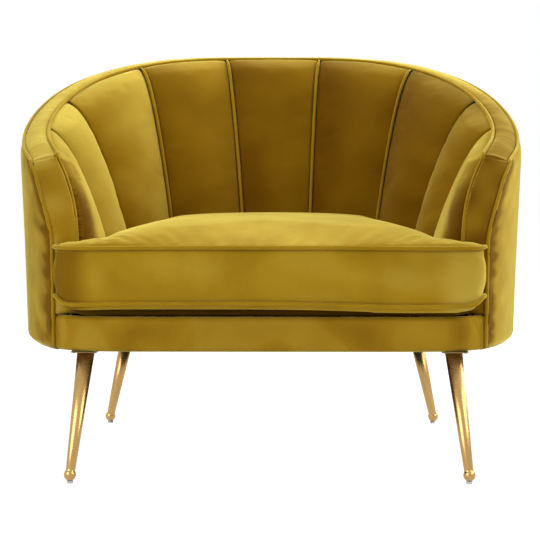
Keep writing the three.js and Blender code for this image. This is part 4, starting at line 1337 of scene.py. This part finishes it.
def make_plate(side, side_name, end_name):
    top = leg_ends[end_name][1]
    centre = Vector((side * (top[0] + plate_shift), -top[1] + widest_y, plate_height))
    block = Matrix.Diagonal((plate_side, plate_side, plate_thickness, 1))
    form = bmesh.new()
    bmesh.ops.create_cube(form, size=1, matrix=block)
    upright = [e for e in form.edges if abs(e.verts[0].co.z - e.verts[1].co.z) > plate_thickness / 2]
    bmesh.ops.bevel(
        form, geom=upright, offset=plate_corner, segments=plate_corner_steps, profile=0.5,
        affect="EDGES", material=-1,
    )
    for x in (-screw_place, screw_place):
        for y in (-screw_place, screw_place):
            spot = Matrix.Translation((x, y, -screw_sink)) @ Matrix.Diagonal((1, 1, screw_dome, 1))
            bmesh.ops.create_icosphere(form, subdivisions=3, radius=screw_radius, matrix=spot)
    bmesh.ops.transform(form, matrix=Matrix.Translation(centre), verts=form.verts)
    bmesh.ops.recalc_face_normals(form, faces=form.faces)
    plate = make_piece(f"plated_leg_plate_{end_name}_{side_name}", form, shaded_plate_brass)
    for face in plate.data.polygons:
        face.use_smooth = face.area < small_face
    settle(plate, f"leg_plate_{end_name}_{side_name}")


for end_name in leg_ends:
    make_plate(-1, "left", end_name)
    make_plate(1, "right", end_name)

# %% [markdown]
# ## Webbing and dust cover
#
# Under the deck five straps of elastic webbing are stretched from the front rail to the rear one, and
# a thin black cloth closes the chair from below. Both are flat strips that give a little in the middle.

# %% Webbing and dust cover
strap_count, strap_sag, strap_give = 5, 0.0015, 0.9
dust_sag, dust_give_x, dust_give_y, dust_lowest_y = 0.003, 0.19, 0.16, -0.12


def node_box(node):
    corners = [Vector(corner) for corner in frame["nodes"][node].bound_box]
    low = Vector(min(corner[i] for corner in corners) for i in range(3))
    high = Vector(max(corner[i] for corner in corners) for i in range(3))
    return low, high


def bowed(value):
    """1 in the middle, falling to 0 at -1 and 1."""
    return limit(1 - value**2)


def flat_cloth(name, finish, node, rows, half_at, sag_at):
    """A thin stretched cloth in the place of a node, with half_at(y) and sag_at(x, y)."""
    low, high = node_box(node)
    middle = (low.x + high.x) / 2

    def place(u, v):
        over, on_top = round_strip(u)
        y = mix(high.y, low.y, v)
        x = middle + over * half_at(y)
        return Vector((x, y, (high.z if on_top else low.z) - sag_at(x, y)))

    form = bend_grid(96, rows, place)
    close_form(form)
    sheet = make_piece(name, form, finish)
    settle(sheet, node)
    size = (round(high.x - low.x, 3), round(high.y - low.y, 3))
    area = round(sum(face.area for face in sheet.data.polygons) / 2, 4)
    area = min(area, round(size[0] * size[1], 4))
    print("cut:", size, "m,", area, "square metres")


def make_strap(number):
    node = f"seat_webbing_{number}"
    low, high = node_box(node)
    half, middle, reach = (high.x - low.x) / 2, (low.y + high.y) / 2, (high.y - low.y) / 2

    def strap_half(y):
        return half

    def sag(x, y):
        return strap_sag * bowed((y - middle) / (strap_give * reach))

    flat_cloth(f"webbing_strap_{number}", webbing, node, 40, strap_half, sag)


def dust_half(y):
    edge = node_box("dust_cover")[1]
    back = edge.y - widest_y
    front = front_reach - (half_width - edge.x)
    return edge.x * math.sqrt(bowed((y - widest_y) / (back if y > widest_y else front)))


def dust_give(x, y):
    return dust_sag * bowed(x / dust_give_x) * bowed((y - dust_lowest_y) / dust_give_y)


for number in range(1, strap_count + 1):
    make_strap(number)
flat_cloth("dust_cloth", dust_cloth, "dust_cover", 120, dust_half, dust_give)

# %% [markdown]
# The timber and the clear glides keep their solids. They only get their finishes, by the slot that
# the record gives each of them.

# %% Finished solids
finish_of_slot = {"frame_timber": timber, "glide_clear": glide_plastic}
finished = [entry for entry in frame["record"]["subparts"] if entry["material_slot"] in finish_of_slot]
for entry in finished:
    solid = frame["nodes"][entry["node"]]
    solid.data.materials.clear()
    solid.data.materials.append(finish_of_slot[entry["material_slot"]])
print("finished solids:", len(finished))

# %% [markdown]
# ## Studio
#
# The photograph is a catalogue picture on white. Two soft lamps stand on the right, one on the left
# and one high behind the chair, and the pale floor and a dim sky return the rest. The floor and the
# sky are white where the camera looks at them, and the floor still takes a faint shadow.

# %% Floor
floor_tone, floor_glow, floor_glow_share = 0.86, 1.22, 0.80


def seen_directly(tree):
    """1 for what the camera sees, also in a mirror or through glass; 0 for other light."""
    ray = add_node(tree, "ShaderNodeLightPath", {}).outputs
    seen = ray["Is Camera Ray"]
    for kind in ("Is Glossy Ray", "Is Transmission Ray"):
        seen = add_node(tree, "ShaderNodeMath", {0: seen, 1: ray[kind]}, operation="MAXIMUM").outputs[0]
    return seen


def blend_surface(tree, end, share, first, second):
    blend = add_node(tree, "ShaderNodeMixShader", {0: share, 1: first, 2: second}).outputs["Shader"]
    feed(tree, tree.nodes[end], {"Surface": blend})


floor_form = bmesh.new()
bmesh.ops.create_grid(floor_form, x_segments=2, y_segments=2, size=30)
floor_finish, floor_tree, floor_shader = new_material("studio_floor")
feed(floor_tree, floor_shader, {
    "Base Color": (floor_tone, floor_tone, floor_tone, 1),
    "Roughness": 0.9,
    "Specular IOR Level": 0.1,
})
floor_light = add_node(floor_tree, "ShaderNodeEmission", {"Strength": floor_glow}).outputs["Emission"]
glow_inputs = {0: seen_directly(floor_tree), 1: floor_glow_share}
glow_share = add_node(floor_tree, "ShaderNodeMath", glow_inputs, operation="MULTIPLY").outputs[0]
blend_surface(floor_tree, "Material Output", glow_share, floor_shader.outputs["BSDF"], floor_light)
floor = make_piece("studio_floor", floor_form, floor_finish)

# %% Lamps and world
lamp_target = Vector((0, 0, 0.4))
lamps = {
    "key_softbox": ((2.2, 1.1, 1.85), (1.5, 1.5), 62),
    "side_softbox": ((2.4, -1.1, 1.8), (1.5, 1.5), 36),
    "fill_softbox": ((-2.0, -2.2, 1.5), (1.8, 1.8), 50),
    "top_softbox": ((-0.3, 1.0, 2.4), (2.0, 1.4), 52),
}
for name, (place, size, power) in lamps.items():
    lamp = bpy.data.lights.new(name, "AREA")
    lamp.shape = "RECTANGLE"
    lamp.size, lamp.size_y = size
    lamp.energy = power
    light = bpy.data.objects.new(name, lamp)
    light.location = place
    light.rotation_euler = (lamp_target - Vector(place)).to_track_quat("-Z", "Y").to_euler()
    scene.collection.objects.link(light)

world = bpy.data.worlds.new("studio_world")
scene.world = world
world.use_nodes = True
sky_tree = world.node_tree
sky = sky_tree.nodes["Background"]
feed(sky_tree, sky, {"Color": (1, 1, 1, 1), "Strength": 0.06})
white = add_node(sky_tree, "ShaderNodeBackground", {"Color": (1, 1, 1, 1)})
skies = sky.outputs["Background"], white.outputs["Background"]
blend_surface(sky_tree, "World Output", seen_directly(sky_tree), *skies)
scene.view_settings.view_transform = "Standard"
print("studio ready")
